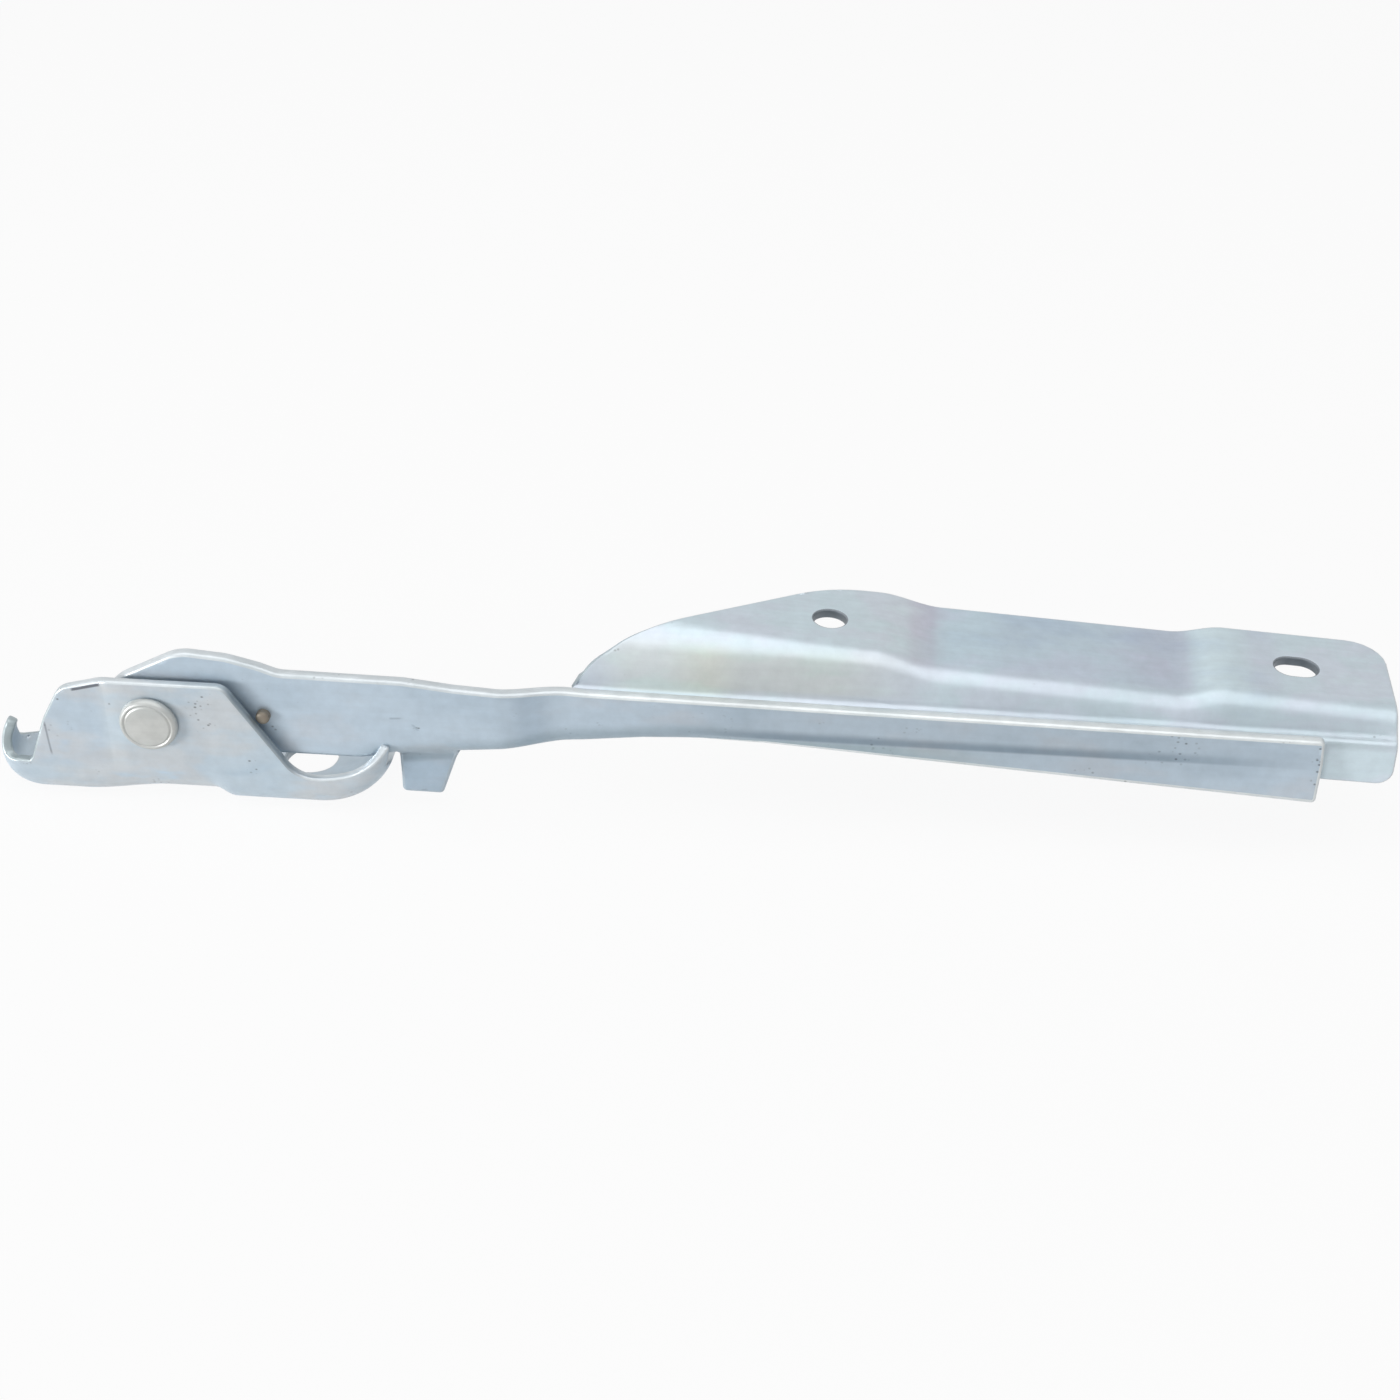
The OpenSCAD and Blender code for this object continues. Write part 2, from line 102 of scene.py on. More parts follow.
def arc(centre, r, start, end, n):
    """Points of an arc, with angles in degrees."""
    angles = np.radians(np.linspace(start, end, n + 1))
    return [(centre[0] + r * math.cos(a), centre[1] + r * math.sin(a)) for a in angles]


def rounded(points, closed=True, n=6):
    """Path through [a, b, radius] corners, each replaced by an arc of its radius."""
    path = []
    count = len(points)
    for i, (a, b, r) in enumerate(points):
        at = np.array((a, b))
        if r == 0 or (not closed and i in (0, count - 1)):
            path.append((a, b))
            continue
        before = np.array(points[i - 1][:2])
        after = np.array(points[(i + 1) % count][:2])
        u = unit(before - at)
        v = unit(after - at)
        half = math.acos(max(-1.0, min(1.0, float(u @ v)))) / 2
        centre = at + unit(u + v) * r / math.sin(half)
        start = at + u * r / math.tan(half) - centre
        end = at + v * r / math.tan(half) - centre
        first = math.atan2(start[1], start[0])
        turn = math.atan2(end[1], end[0]) - first
        turn = (turn + 3 * math.pi) % (2 * math.pi) - math.pi
        for k in range(n + 1):
            angle = first + turn * k / n
            path.append((centre[0] + r * math.cos(angle), centre[1] + r * math.sin(angle)))
    return path


def spaced(path, step, closed=True):
    """The same path with points at most one step apart."""
    pts = [np.array(p, float) for p in path]
    if closed:
        pts = pts + [pts[0]]
    out = []
    for a, b in zip(pts[:-1], pts[1:]):
        length = float(np.linalg.norm(b - a))
        if length < SAME_POINT:
            continue
        parts = max(1, math.ceil(length / step))
        out += [a + (b - a) * k / parts for k in range(parts)]
    if not closed:
        out.append(pts[-1])
    return np.array(out)


def moved_in(path, d, closed=True):
    """The path moved to its left by d; a counter-clockwise loop shrinks."""
    sharpest = 0.5
    p = np.asarray(path, float)
    before = np.roll(p, 1, axis=0)
    after = np.roll(p, -1, axis=0)
    if not closed:
        before[0] = 2 * p[0] - p[1]
        after[-1] = 2 * p[-1] - p[-2]
    e1 = p - before
    e2 = after - p
    e1 /= np.linalg.norm(e1, axis=1)[:, None]
    e2 /= np.linalg.norm(e2, axis=1)[:, None]
    n1 = np.stack([-e1[:, 1], e1[:, 0]], axis=1)
    n2 = np.stack([-e2[:, 1], e2[:, 0]], axis=1)
    m = n1 + n2
    return p + d * m / np.maximum(1 + (n1 * n2).sum(axis=1), sharpest)[:, None]


def within(points, loop):
    """Which points lie inside a loop."""
    x = points[:, 0][:, None]
    y = points[:, 1][:, None]
    x0, y0 = loop[:, 0], loop[:, 1]
    x1, y1 = np.roll(x0, -1), np.roll(y0, -1)
    rises = (y0 > y) != (y1 > y)
    slope = np.where(y1 == y0, TINY, y1 - y0)
    crosses = rises & (x < (x1 - x0) * (y - y0) / slope + x0)
    return crosses.sum(axis=1) % 2 == 1


def filled(outer, holes, inner, clear):
    """Triangles of a flat blank: its loops, plus inner points that keep clear of the loops."""
    loops = [np.asarray(outer)] + [np.asarray(h) for h in holes]
    rim = np.concatenate(loops)
    keep = within(inner, loops[0])
    for hole in loops[1:]:
        keep &= ~within(inner, hole)
    inner = inner[keep]
    gap = np.array([np.min(((rim - q) ** 2).sum(axis=1)) for q in inner])
    inner = inner[gap > clear * clear]
    edges = []
    start = 0
    for loop in loops:
        n = len(loop)
        edges += [(start + i, start + (i + 1) % n) for i in range(n)]
        start += n
    coords = [Vector((float(a), float(b))) for a, b in np.concatenate([rim, inner])]
    made = delaunay_2d_cdt(coords, edges, [], 0, SAME_POINT)
    verts = np.array([(v.x, v.y) for v in made[0]])
    tris = np.array([f for f in made[2] if len(f) == 3])
    middle = verts[tris].mean(axis=1)
    ok = within(middle, loops[0])
    for hole in loops[1:]:
        ok &= ~within(middle, hole)
    tris = tris[ok]
    a, b, c = (verts[tris[:, k]] for k in range(3))
    turn = (b[:, 0] - a[:, 0]) * (c[:, 1] - a[:, 1]) - (b[:, 1] - a[:, 1]) * (c[:, 0] - a[:, 0])
    tris = tris[np.abs(turn) > NO_TURN]
    turn = turn[np.abs(turn) > NO_TURN]
    tris[turn < 0] = tris[turn < 0][:, ::-1]
    return verts, tris


def grid(xs, ys):
    gx, gy = np.meshgrid(xs, ys)
    return np.stack([gx.ravel(), gy.ravel()], axis=1)


def all_cut(rim_points):
    return np.ones(len(rim_points), np.int32)


def shell(name, points, tris, thick, edge, mats, cut_kind=all_cut):
    """Closed sheet: outer face from the triangles, inner face at its thickness, cut edges rounded by edge.

    cut_kind gives the number of the material at each point of the cut edges.
    """
    sharpest = 0.6
    n = len(points)
    a, b, c = (points[tris[:, k]] for k in range(3))
    flat = np.cross(b - a, c - a)
    normal = np.zeros_like(points)
    for k in range(3):
        np.add.at(normal, tris[:, k], flat)
    normal /= np.maximum(np.linalg.norm(normal, axis=1), TINY)[:, None]
    sides = {}
    for t in tris:
        for k in range(3):
            sides[(int(t[k]), int(t[(k + 1) % 3]))] = True
    rim = {i: j for (i, j) in sides if (j, i) not in sides}
    back = {j: i for i, j in rim.items()}
    ids = sorted(rim)
    out = {}
    for i in ids:
        e1 = unit(points[i] - points[back[i]])
        e2 = unit(points[rim[i]] - points[i])
        o1 = unit(np.cross(e1, normal[i]))
        o2 = unit(np.cross(e2, normal[i]))
        m = o1 + o2
        out[i] = m / max(1 + float(o1 @ o2), sharpest)
    quarter = np.radians((0, 30, 60, 90))
    profile = [(edge * math.sin(q), edge * (1 - math.cos(q))) for q in quarter]
    profile += [(edge * math.cos(q), thick - edge + edge * math.sin(q)) for q in quarter]
    verts = [points, points - thick * normal]
    rings = [{i: i for i in ids}]
    count = 2 * n
    for reach, depth in profile[1:-1]:
        verts.append(np.array([points[i] + reach * out[i] - depth * normal[i] for i in ids]))
        rings.append({i: count + k for k, i in enumerate(ids)})
        count += len(ids)
    rings.append({i: i + n for i in ids})
    faces = [tuple(int(k) for k in t) for t in tris]
    faces += [tuple(int(k) + n for k in t[::-1]) for t in tris]
    cut = len(faces)
    for near, far in zip(rings[:-1], rings[1:]):
        faces += [(near[j], near[i], far[i], far[j]) for i, j in rim.items()]
    mesh = bpy.data.meshes.new(name)
    mesh.from_pydata((np.concatenate(verts) * MM).tolist(), [], faces)
    index = np.zeros(len(mesh.polygons), np.int32)
    index[cut:] = np.tile(cut_kind(points[list(rim)]), len(rings) - 1)
    mesh.polygons.foreach_set("material_index", index)
    mesh.polygons.foreach_set("use_smooth", np.ones(len(mesh.polygons), bool))
    for m in mats:
        mesh.materials.append(m)
    mesh.update()
    obj = bpy.data.objects.new(name, mesh)
    bpy.context.scene.collection.objects.link(obj)
    return obj


def lathe(name, profile, y0, centres, mat, steps=96):
    """Turned piece about lines along Y; the profile lists [radius, distance in front of y0]."""
    verts = []
    faces = []
    ring_shaped = profile[0][0] > 0
    for x, z in centres:
        rings = []
        for r, h in profile:
            if r == 0:
                rings.append([len(verts)] * steps)
                verts.append((x, y0 - h, z))
                continue
            rings.append(list(range(len(verts), len(verts) + steps)))
            for k in range(steps):
                a = 2 * math.pi * k / steps
                verts.append((x + r * math.cos(a), y0 - h, z + r * math.sin(a)))
        if ring_shaped:
            rings.append(rings[0])
        for p, q in zip(rings[:-1], rings[1:]):
            for k in range(steps):
                face = [p[k], q[k], q[(k + 1) % steps], p[(k + 1) % steps]]
                face = [f for i, f in enumerate(face) if f != face[i - 1]]
                faces.append(tuple(face))
    mesh = bpy.data.meshes.new(name)
    mesh.from_pydata([tuple(c * MM for c in v) for v in verts], [], faces)
    mesh.polygons.foreach_set("use_smooth", np.ones(len(mesh.polygons), bool))
    mesh.materials.append(mat)
    mesh.update()
    obj = bpy.data.objects.new(name, mesh)
    bpy.context.scene.collection.objects.link(obj)
    return obj


# Materials

def link(tree, a, b):
    tree.links.new(a, b)


def node(tree, kind, **values):
    made = tree.nodes.new(kind)
    for key, value in values.items():
        setattr(made, key, value)
    return made


def noise(tree, coords, scale, detail, rough=0.5):
    made = node(tree, "ShaderNodeTexNoise")
    made.inputs["Scale"].default_value = scale
    made.inputs["Detail"].default_value = detail
    made.inputs["Roughness"].default_value = rough
    link(tree, coords, made.inputs["Vector"])
    return made.outputs["Fac"]


def stretched(tree, coords, place, scale):
    made = node(tree, "ShaderNodeMapping")
    made.inputs["Location"].default_value = place
    made.inputs["Scale"].default_value = scale
    link(tree, coords, made.inputs["Vector"])
    return made.outputs["Vector"]


def ranged(tree, value, low, high, to_low, to_high, kind="LINEAR"):
    made = node(tree, "ShaderNodeMapRange", interpolation_type=kind)
    made.inputs["From Min"].default_value = low
    made.inputs["From Max"].default_value = high
    made.inputs["To Min"].default_value = to_low
    made.inputs["To Max"].default_value = to_high
    link(tree, value, made.inputs["Value"])
    return made.outputs["Result"]


def maths(tree, kind, a, b):
    made = node(tree, "ShaderNodeMath", operation=kind)
    for socket, value in zip(made.inputs, (a, b)):
        if isinstance(value, (int, float)):
            socket.default_value = value
        else:
            link(tree, value, socket)
    return made.outputs["Value"]


def ramp(tree, value, stops):
    made = node(tree, "ShaderNodeValToRGB")
    made.color_ramp.interpolation = "EASE"
    while len(made.color_ramp.elements) < len(stops):
        made.color_ramp.elements.new(0.5)
    for element, (place, colour) in zip(made.color_ramp.elements, stops):
        element.position = place
        element.color = (*colour, 1)
    link(tree, value, made.inputs["Fac"])
    return made.outputs["Color"]


def shaded(tree, colour, factor):
    """Colour times a grey factor."""
    made = node(tree, "ShaderNodeVectorMath", operation="SCALE")
    link(tree, colour, made.inputs[0])
    link(tree, factor, made.inputs["Scale"])
    return made.outputs["Vector"]


ALONG = (1, 0, 0)
ACROSS = (0, 1, 0)
UP = (0, 0, 1)


def patch(tree, position, spans):
    """Soft mask: each span gives a direction, then where it starts, is full, begins to fall and ends."""
    total = None
    for direction, start, full, fall, end in spans:
        dot = node(tree, "ShaderNodeVectorMath", operation="DOT_PRODUCT")
        link(tree, position, dot.inputs[0])
        dot.inputs[1].default_value = direction
        rise = ranged(tree, dot.outputs["Value"], start, full, 0, 1, "SMOOTHSTEP")
        drop = ranged(tree, dot.outputs["Value"], fall, end, 1, 0, "SMOOTHSTEP")
        bump = maths(tree, "MULTIPLY", rise, drop)
        total = bump if total is None else maths(tree, "MULTIPLY", total, bump)
    return total


def tinted(tree, colour, mask, tint):
    """Colour times the tint where the mask is 1."""
    change = node(tree, "ShaderNodeVectorMath", operation="SCALE")
    change.inputs[0].default_value = [t - 1 for t in tint]
    link(tree, mask, change.inputs["Scale"])
    factor = node(tree, "ShaderNodeVectorMath", operation="ADD")
    link(tree, change.outputs["Vector"], factor.inputs[0])
    factor.inputs[1].default_value = (1, 1, 1)
    product = node(tree, "ShaderNodeVectorMath", operation="MULTIPLY")
    link(tree, colour, product.inputs[0])
    link(tree, factor.outputs["Vector"], product.inputs[1])
    return product.outputs["Vector"]


# Scales of the metal's noises, in cells per metre, and the depth of its bump in metres
DRIFT_SCALE = 38
DRIFT_STRETCH = (0.6, 1, 1.4)
MOTTLE_SCALE = 210
STREAK_STRETCH = (30, 500, 500)
SPECK_PLACE = (0.3, 0.1, 0.2)
SPECK_STRETCH = (520, 520, 700)
GATHER_SCALE = 75
WEAR_SCALE = 90
BUMP_SCALE = 500
BUMP_DEPTH = 0.0004
METALLIC = 0.4
NO_SHIFT = (0, 0, 0)


def plated(name, stops, place, rough, speck=0.6, grain=0.05, bump=0.02, tints=(), dirty=(), clean=0.62):
    """Worn plated or bare metal: slow colour drift, rolling grain, tinted patches, dark specks, fine bump.

    stops are the colours of the drift, place shifts its noises, rough is the range of roughness. Specks
    gather on the dirty patches and where a slow noise is above clean.
    """
    mat = bpy.data.materials.new(name)
    mat.use_nodes = True
    tree = mat.node_tree
    tree.nodes.clear()
    out = node(tree, "ShaderNodeOutputMaterial")
    bsdf = node(tree, "ShaderNodeBsdfPrincipled")
    link(tree, bsdf.outputs["BSDF"], out.inputs["Surface"])
    on_part = node(tree, "ShaderNodeTexCoord").outputs["Object"]
    coords = stretched(tree, on_part, place, (1, 1, 1))
    drift = noise(tree, stretched(tree, coords, NO_SHIFT, DRIFT_STRETCH), DRIFT_SCALE, 4, 0.55)
    colour = ramp(tree, ranged(tree, drift, 0.28, 0.72, 0, 1), stops)
    for spans, tint in tints:
        colour = tinted(tree, colour, patch(tree, on_part, spans), tint)
    mottle = ranged(tree, noise(tree, coords, MOTTLE_SCALE, 5, 0.62), 0.3, 0.7, -1, 1)
    lines = noise(tree, stretched(tree, coords, NO_SHIFT, STREAK_STRETCH), 1, 3)
    streak = ranged(tree, lines, 0.3, 0.7, -1, 1)
    tone = maths(tree, "MULTIPLY", mottle, grain)
    tone = maths(tree, "ADD", tone, maths(tree, "MULTIPLY", streak, grain * 0.5))
    cells = node(tree, "ShaderNodeTexVoronoi")
    cells.inputs["Scale"].default_value = 1
    link(tree, stretched(tree, coords, SPECK_PLACE, SPECK_STRETCH), cells.inputs["Vector"])
    spots = ranged(tree, cells.outputs["Distance"], 0.12, 0.3, 1, 0)
    where = ranged(tree, noise(tree, coords, GATHER_SCALE, 3), clean, clean + 0.1, 0, 1)
    for spans in dirty:
        where = maths(tree, "MAXIMUM", where, patch(tree, on_part, spans))
    marks = maths(tree, "MULTIPLY", spots, where)
    factor = maths(tree, "ADD", tone, 1)
    factor = maths(tree, "SUBTRACT", factor, maths(tree, "MULTIPLY", marks, speck))
    link(tree, shaded(tree, colour, factor), bsdf.inputs["Base Color"])
    wear = ranged(tree, noise(tree, coords, WEAR_SCALE, 4, 0.6), 0.3, 0.7, rough[0], rough[1])
    link(tree, wear, bsdf.inputs["Roughness"])
    bsdf.inputs["Metallic"].default_value = METALLIC
    lift = node(tree, "ShaderNodeBump")
    lift.inputs["Strength"].default_value = bump
    lift.inputs["Distance"].default_value = BUMP_DEPTH
    fine = noise(tree, coords, BUMP_SCALE, 1)
    height = maths(tree, "ADD", fine, maths(tree, "MULTIPLY", streak, 0.3))
    link(tree, height, lift.inputs["Height"])
    link(tree, lift.outputs["Normal"], bsdf.inputs["Normal"])
    return mat


# Colours along the drift
BRACKET_ZINC = [(0.0, (0.43, 0.55, 0.65)), (0.45, (0.53, 0.62, 0.69)),
                (0.75, (0.58, 0.62, 0.65)), (1.0, (0.52, 0.65, 0.76))]
ARM_ZINC = [(0.0, (0.46, 0.56, 0.65)), (0.5, (0.52, 0.62, 0.71)),
            (0.8, (0.54, 0.61, 0.68)), (1.0, (0.53, 0.64, 0.74))]
PLATE_ZINC = [(0.0, (0.50, 0.60, 0.68)), (0.4, (0.56, 0.66, 0.71)),
              (0.7, (0.58, 0.64, 0.71)), (1.0, (0.60, 0.69, 0.74))]
CUT = [(0.0, (0.58, 0.64, 0.67)), (0.5, (0.67, 0.72, 0.75)), (1.0, (0.62, 0.67, 0.70))]
HOLE_SHADE = [(0.0, (0.20, 0.23, 0.26)), (1.0, (0.34, 0.37, 0.40))]
WORN = [(0.0, (0.46, 0.48, 0.47)), (0.5, (0.54, 0.56, 0.55)), (1.0, (0.58, 0.59, 0.57))]
BRONZE = [(0.0, (0.30, 0.22, 0.13)), (1.0, (0.40, 0.31, 0.19))]
BRASS = [(0.0, (0.16, 0.14, 0.11)), (1.0, (0.30, 0.26, 0.21))]
WELD = [(0.0, (0.20, 0.20, 0.21)), (0.6, (0.36, 0.37, 0.39)), (1.0, (0.42, 0.39, 0.36))]

# Patches, as spans in metres: those with a colour factor tint the metal, many of them as painted light and
# shade;
# the others gather its dark specks.
# On the bracket: a scratch below the top edge, painted shade along the crease from the left edge, painted
# light and painted shade on the two sides of the fold, painted shade right of the pivot, specks beside the
# pivot and near the edges
TOP_SCRATCH = ((ALONG, -0.0235, -0.0225, -0.0145, -0.0135),
               ((-0.265, 0, 0.964), 0.0434, 0.0438, 0.0444, 0.0448))
# Painted light right of the fold, painted shade left of it, and painted shade right of the pivot
FOLD_PAINTED_LIGHT = ((ALONG, -0.0138, -0.0128, -0.01, -0.006), (UP, 0.01, 0.015, 0.05, 0.06))
LEFT_OF_FOLD_SHADE = ((ALONG, -0.06, -0.05, -0.0165, -0.0135), (UP, 0.01, 0.015, 0.05, 0.06))
RIGHT_PAINTED_SHADE = ((ALONG, 0.007, 0.0105, 0.0135, 0.019), (UP, 0.006, 0.012, 0.05, 0.06))
# Painted shade along the crease from the left edge
LEFT_CREASE_SHADE = (((0.995, 0, 0.103), -0.0309, -0.0306, -0.0303, -0.0300), (UP, 0.015, 0.017, 0.026, 0.0285))
BRACKET_TINTS = [(TOP_SCRATCH, (0.3, 0.3, 0.32)), (LEFT_CREASE_SHADE, (0.6, 0.6, 0.62)),
                 (FOLD_PAINTED_LIGHT, (1.07, 1.06, 1.05)), (LEFT_OF_FOLD_SHADE, (0.96, 0.97, 0.99)),
                 (RIGHT_PAINTED_SHADE, (0.95, 0.96, 0.97))]
BRACKET_SPECKS = [((ALONG, 0.011, 0.014, 0.018, 0.021), (UP, 0.026, 0.029, 0.041, 0.044)),
                  ((ALONG, 0.028, 0.029, 0.031, 0.033), (UP, 0.012, 0.014, 0.017, 0.019)),
                  ((ALONG, -0.031, -0.029, -0.027, -0.026), (UP, 0.033, 0.0345, 0.038, 0.0395)),
                  ((ALONG, -0.0145, -0.0135, -0.012, -0.011), (UP, 0.034, 0.0355, 0.037, 0.039))]

# On the arm: painted shade along and above the crease, on the web, at the start of the lip, on the tab, at
# the bend and on the rolled lower edge; two faint scratches above the tab, specks along the edges
# Painted shade: the rolled lower edge, above the crease, the web, the start of the lip, the tab and the bend
ROLLED_EDGE_SHADE = ((ALONG, 0.055, 0.072, 0.15, 0.19), ((-0.1116, 0, 0.9938), 0.006, 0.008, 0.012, 0.0165))
CREASE_SHADE = ((ALONG, 0.15, 0.19, 0.28, 0.36), (UP, 0.0288, 0.0297, 0.0302, 0.0332))
WEB_SHADE = ((ALONG, 0.11, 0.19, 0.28, 0.35), (UP, 0.01, 0.012, 0.05, 0.06))
LIP_SHADE = ((ALONG, 0.165, 0.19, 0.22, 0.27), (UP, 0.0, 0.01, 0.0285, 0.0296))
TAB_SHADE = ((ALONG, 0.07, 0.073, 0.094, 0.097), (UP, 0.0, 0.002, 0.0185, 0.0205))
BEND_SHADE = ((ALONG, 0.108, 0.114, 0.116, 0.122), (UP, 0.0, 0.01, 0.05, 0.06))
SCRATCH_LEFT = ((ALONG, 0.0722, 0.073, 0.0752, 0.077),
                ((-0.07, 0, 0.9975), 0.0270, 0.0274, 0.0276, 0.0280))
SCRATCH_LOW = (((0.8, 0, 0.6), 0.0814, 0.0819, 0.0821, 0.0826), (UP, 0.0285, 0.029, 0.0305, 0.0312))
ARM_TINTS = [(ROLLED_EDGE_SHADE, (0.74, 0.77, 0.77)), (CREASE_SHADE, (0.56, 0.6, 0.63)),
             (WEB_SHADE, (0.88, 0.88, 0.88)), (LIP_SHADE, (0.84, 0.87, 0.84)),
             (TAB_SHADE, (0.8, 0.84, 0.87)), (BEND_SHADE, (0.9, 0.92, 0.94)),
             (SCRATCH_LEFT, (0.74, 0.76, 0.78)), (SCRATCH_LOW, (0.8, 0.82, 0.84))]
ARM_SPECKS = [((ALONG, 0.033, 0.0345, 0.038, 0.0395), (UP, 0.047, 0.0475, 0.0485, 0.049)),
              ((ALONG, 0.035, 0.036, 0.039, 0.04), (UP, 0.0395, 0.0405, 0.0425, 0.0435)),
              ((ALONG, 0.072, 0.073, 0.077, 0.0785), (UP, 0.0315, 0.0322, 0.0332, 0.034)),
              ((ALONG, 0.079, 0.08, 0.082, 0.083), (UP, 0.0275, 0.028, 0.0295, 0.0305)),
              ((ALONG, 0.3005, 0.302, 0.3055, 0.307), (UP, 0.0285, 0.0295, 0.0325, 0.0335)),
              ((ALONG, 0.3445, 0.3465, 0.349, 0.351), (UP, 0.017, 0.02, 0.038, 0.041))]

# On cut edges: painted shade on the hook, on the slope of the wall and on the arm's lower left edges with the
# tab, darker on the plate's left end, painted light on the arm's long top edge
# Painted shade on the cut edges of the hook and of the wall's slope; the plate's left end is only darker
HOOK_EDGE_SHADE = ((ALONG, -0.06, -0.055, -0.034, -0.02),)
SLOPE_EDGE_SHADE = ((ALONG, 0.0225, 0.0265, 0.04, 0.047),)
PLATE_LEFT_EDGE = ((ALONG, 0.12, 0.124, 0.142, 0.155),)
# Painted shade on the arm's lower left edges, painted light on its long top edge
LEFT_EDGE_SHADE = ((ALONG, -0.03, -0.02, 0.08, 0.125), (UP, -0.01, 0.0, 0.024, 0.032))
RIGHT_EDGE_HIGHLIGHT = ((ALONG, 0.11, 0.15, 0.36, 0.37),)
CUT_TINTS = [(HOOK_EDGE_SHADE, (0.66, 0.71, 0.71)), (SLOPE_EDGE_SHADE, (0.5, 0.54, 0.57)),
             (PLATE_LEFT_EDGE, (0.62, 0.67, 0.69))]
ARM_EDGE_TINTS = [(LEFT_EDGE_SHADE, (0.66, 0.73, 0.79)), (RIGHT_EDGE_HIGHLIGHT, (1.14, 1.12, 1.09))]

# On the bonnet plate: painted light over the flange, pink with painted shade at the slopes of the pads and
# painted light beside two of them, straw on the riser, painted light with a warmer tint on the left riser,
# painted shade on the right riser, a darker flange between the pads, painted light on the end
FLANGE = (ACROSS, -0.003, 0.004, 0.034, 0.036)
RISER = (ACROSS, -0.0085, -0.0075, -0.0035, 0.002)
# Painted light over the flange, painted shade on the right riser, painted light with a warmer tint on the
# left riser
PLATE_TINTS = [((FLANGE,), (1.07, 1.07, 1.07)),
               (((ALONG, 0.225, 0.26, 0.36, 0.38), RISER), (0.89, 0.9, 0.91)),
               (((ALONG, 0.13, 0.145, 0.165, 0.18), RISER), (1.07, 1.05, 0.97)),
               # Pink with painted shade on the slopes of the pads, painted light beside two of them
               (((ALONG, 0.2235, 0.2285, 0.2325, 0.2362), FLANGE), (0.93, 0.87, 0.9)),
               (((ALONG, 0.2355, 0.239, 0.246, 0.258), FLANGE), (1.05, 1.07, 1.06)),
               (((ALONG, 0.28, 0.303, 0.3085, 0.3125), FLANGE), (0.96, 0.9, 0.93)),
               (((ALONG, 0.311, 0.3145, 0.32, 0.326), FLANGE), (1.05, 1.06, 1.05)),
               (((ALONG, 0.325, 0.331, 0.334, 0.34), FLANGE), (0.97, 0.93, 0.96)),
               (((ALONG, 0.15, 0.17, 0.2, 0.235), (UP, 0.039, 0.042, 0.05, 0.054)), (0.97, 0.94, 0.86)),
               (((ALONG, 0.226, 0.24, 0.305, 0.318), FLANGE), (0.88, 0.9, 0.94)),
               # Painted light on the end wall
               (((ALONG, 0.349, 0.351, 0.369, 0.371), (UP, 0.02, 0.0225, 0.033, 0.036)), (1.28, 1.28, 1.28))]
PLATE_SPECKS = [((ALONG, 0.1365, 0.1375, 0.1395, 0.1405), (UP, 0.05, 0.0512, 0.0528, 0.054))]

# Ranges of roughness
SATIN = (0.32, 0.42)
RAW = (0.3, 0.44)
zinc_bracket = plated("zinc_bracket", BRACKET_ZINC, (0.13, 0.4, 0.2), SATIN,
                      tints=BRACKET_TINTS, dirty=BRACKET_SPECKS)
zinc_arm = plated("zinc_arm", ARM_ZINC, (1.7, 0.3, 0.9), SATIN, tints=ARM_TINTS, dirty=ARM_SPECKS)
zinc_plate = plated("zinc_plate", PLATE_ZINC, (3.1, 1.4, 0.6), (0.3, 0.4), tints=PLATE_TINTS,
                    dirty=PLATE_SPECKS, clean=0.7)
cut_edge = plated("cut_edge", CUT, (0.5, 0.9, 2.3), RAW, speck=0.4, grain=0.07, bump=0.15, tints=CUT_TINTS)
arm_edge = plated("arm_edge", CUT, (1.5, 0.4, 0.3), RAW, speck=0.4, grain=0.07, bump=0.15,
                  tints=ARM_EDGE_TINTS)
# Walls of the bonnet holes near black: painted shade inside the holes
hole_wall_shade = plated("hole_wall_shade", HOLE_SHADE, (0.2, 1.9, 2.7), (0.4, 0.55), speck=0.3, bump=0.15)
rivet_metal = plated("rivet_steel", WORN, (2.2, 0.8, 1.1), (0.34, 0.48), speck=0.3, grain=0.07)
bush_metal = plated("bush_bronze", BRONZE, (0.7, 2.1, 0.4), (0.45, 0.6))
pin_metal = plated("pin_brass", BRASS, (0.9, 0.2, 1.9), (0.4, 0.55))
weld_metal = plated("weld_metal", WELD, (1.2, 1.3, 0.3), (0.45, 0.65), bump=0.4)


# Body bracket: a flat wall, joined along its lower curve to a bend and a strip that turns up at both ends

HOOK_TURN = HOOK_R * math.pi / 2
STRIP_Q = BASE_REAR - WALL_Y
EDGE = 0.7

# Where the wide bend below the pivot grows and ends, as start and length, and how soon the hook's bend is
# tight
WIDE_GROWS = (-24, 26)
WIDE_ENDS = (16, 7)
HOOK_EASE = 14

# Fold of the wall left of the pivot: depth, where it starts and its length, then the slope beyond it and the
# height at which it starts and its length
FOLD_DEPTH = 0.6
FOLD_X = -11
FOLD_LENGTH = 4
FOLD_SLOPE = 0.02
SLOPE_X = -13
FOLD_Z = 16
FOLD_RISE = 12

# Where the wall ends on the hook and where the nose ends, in degrees of their turn, and the arcs of the
# wall's cut edge beside the nose
HOOK_END = 84
NOSE_TIP = 84
TOE = (49.12, 21.8)
TOE_R = 10
TOE_START = 212.2
CUT_CENTRE = (49.12, 39.8)
CUT_R = 28.0


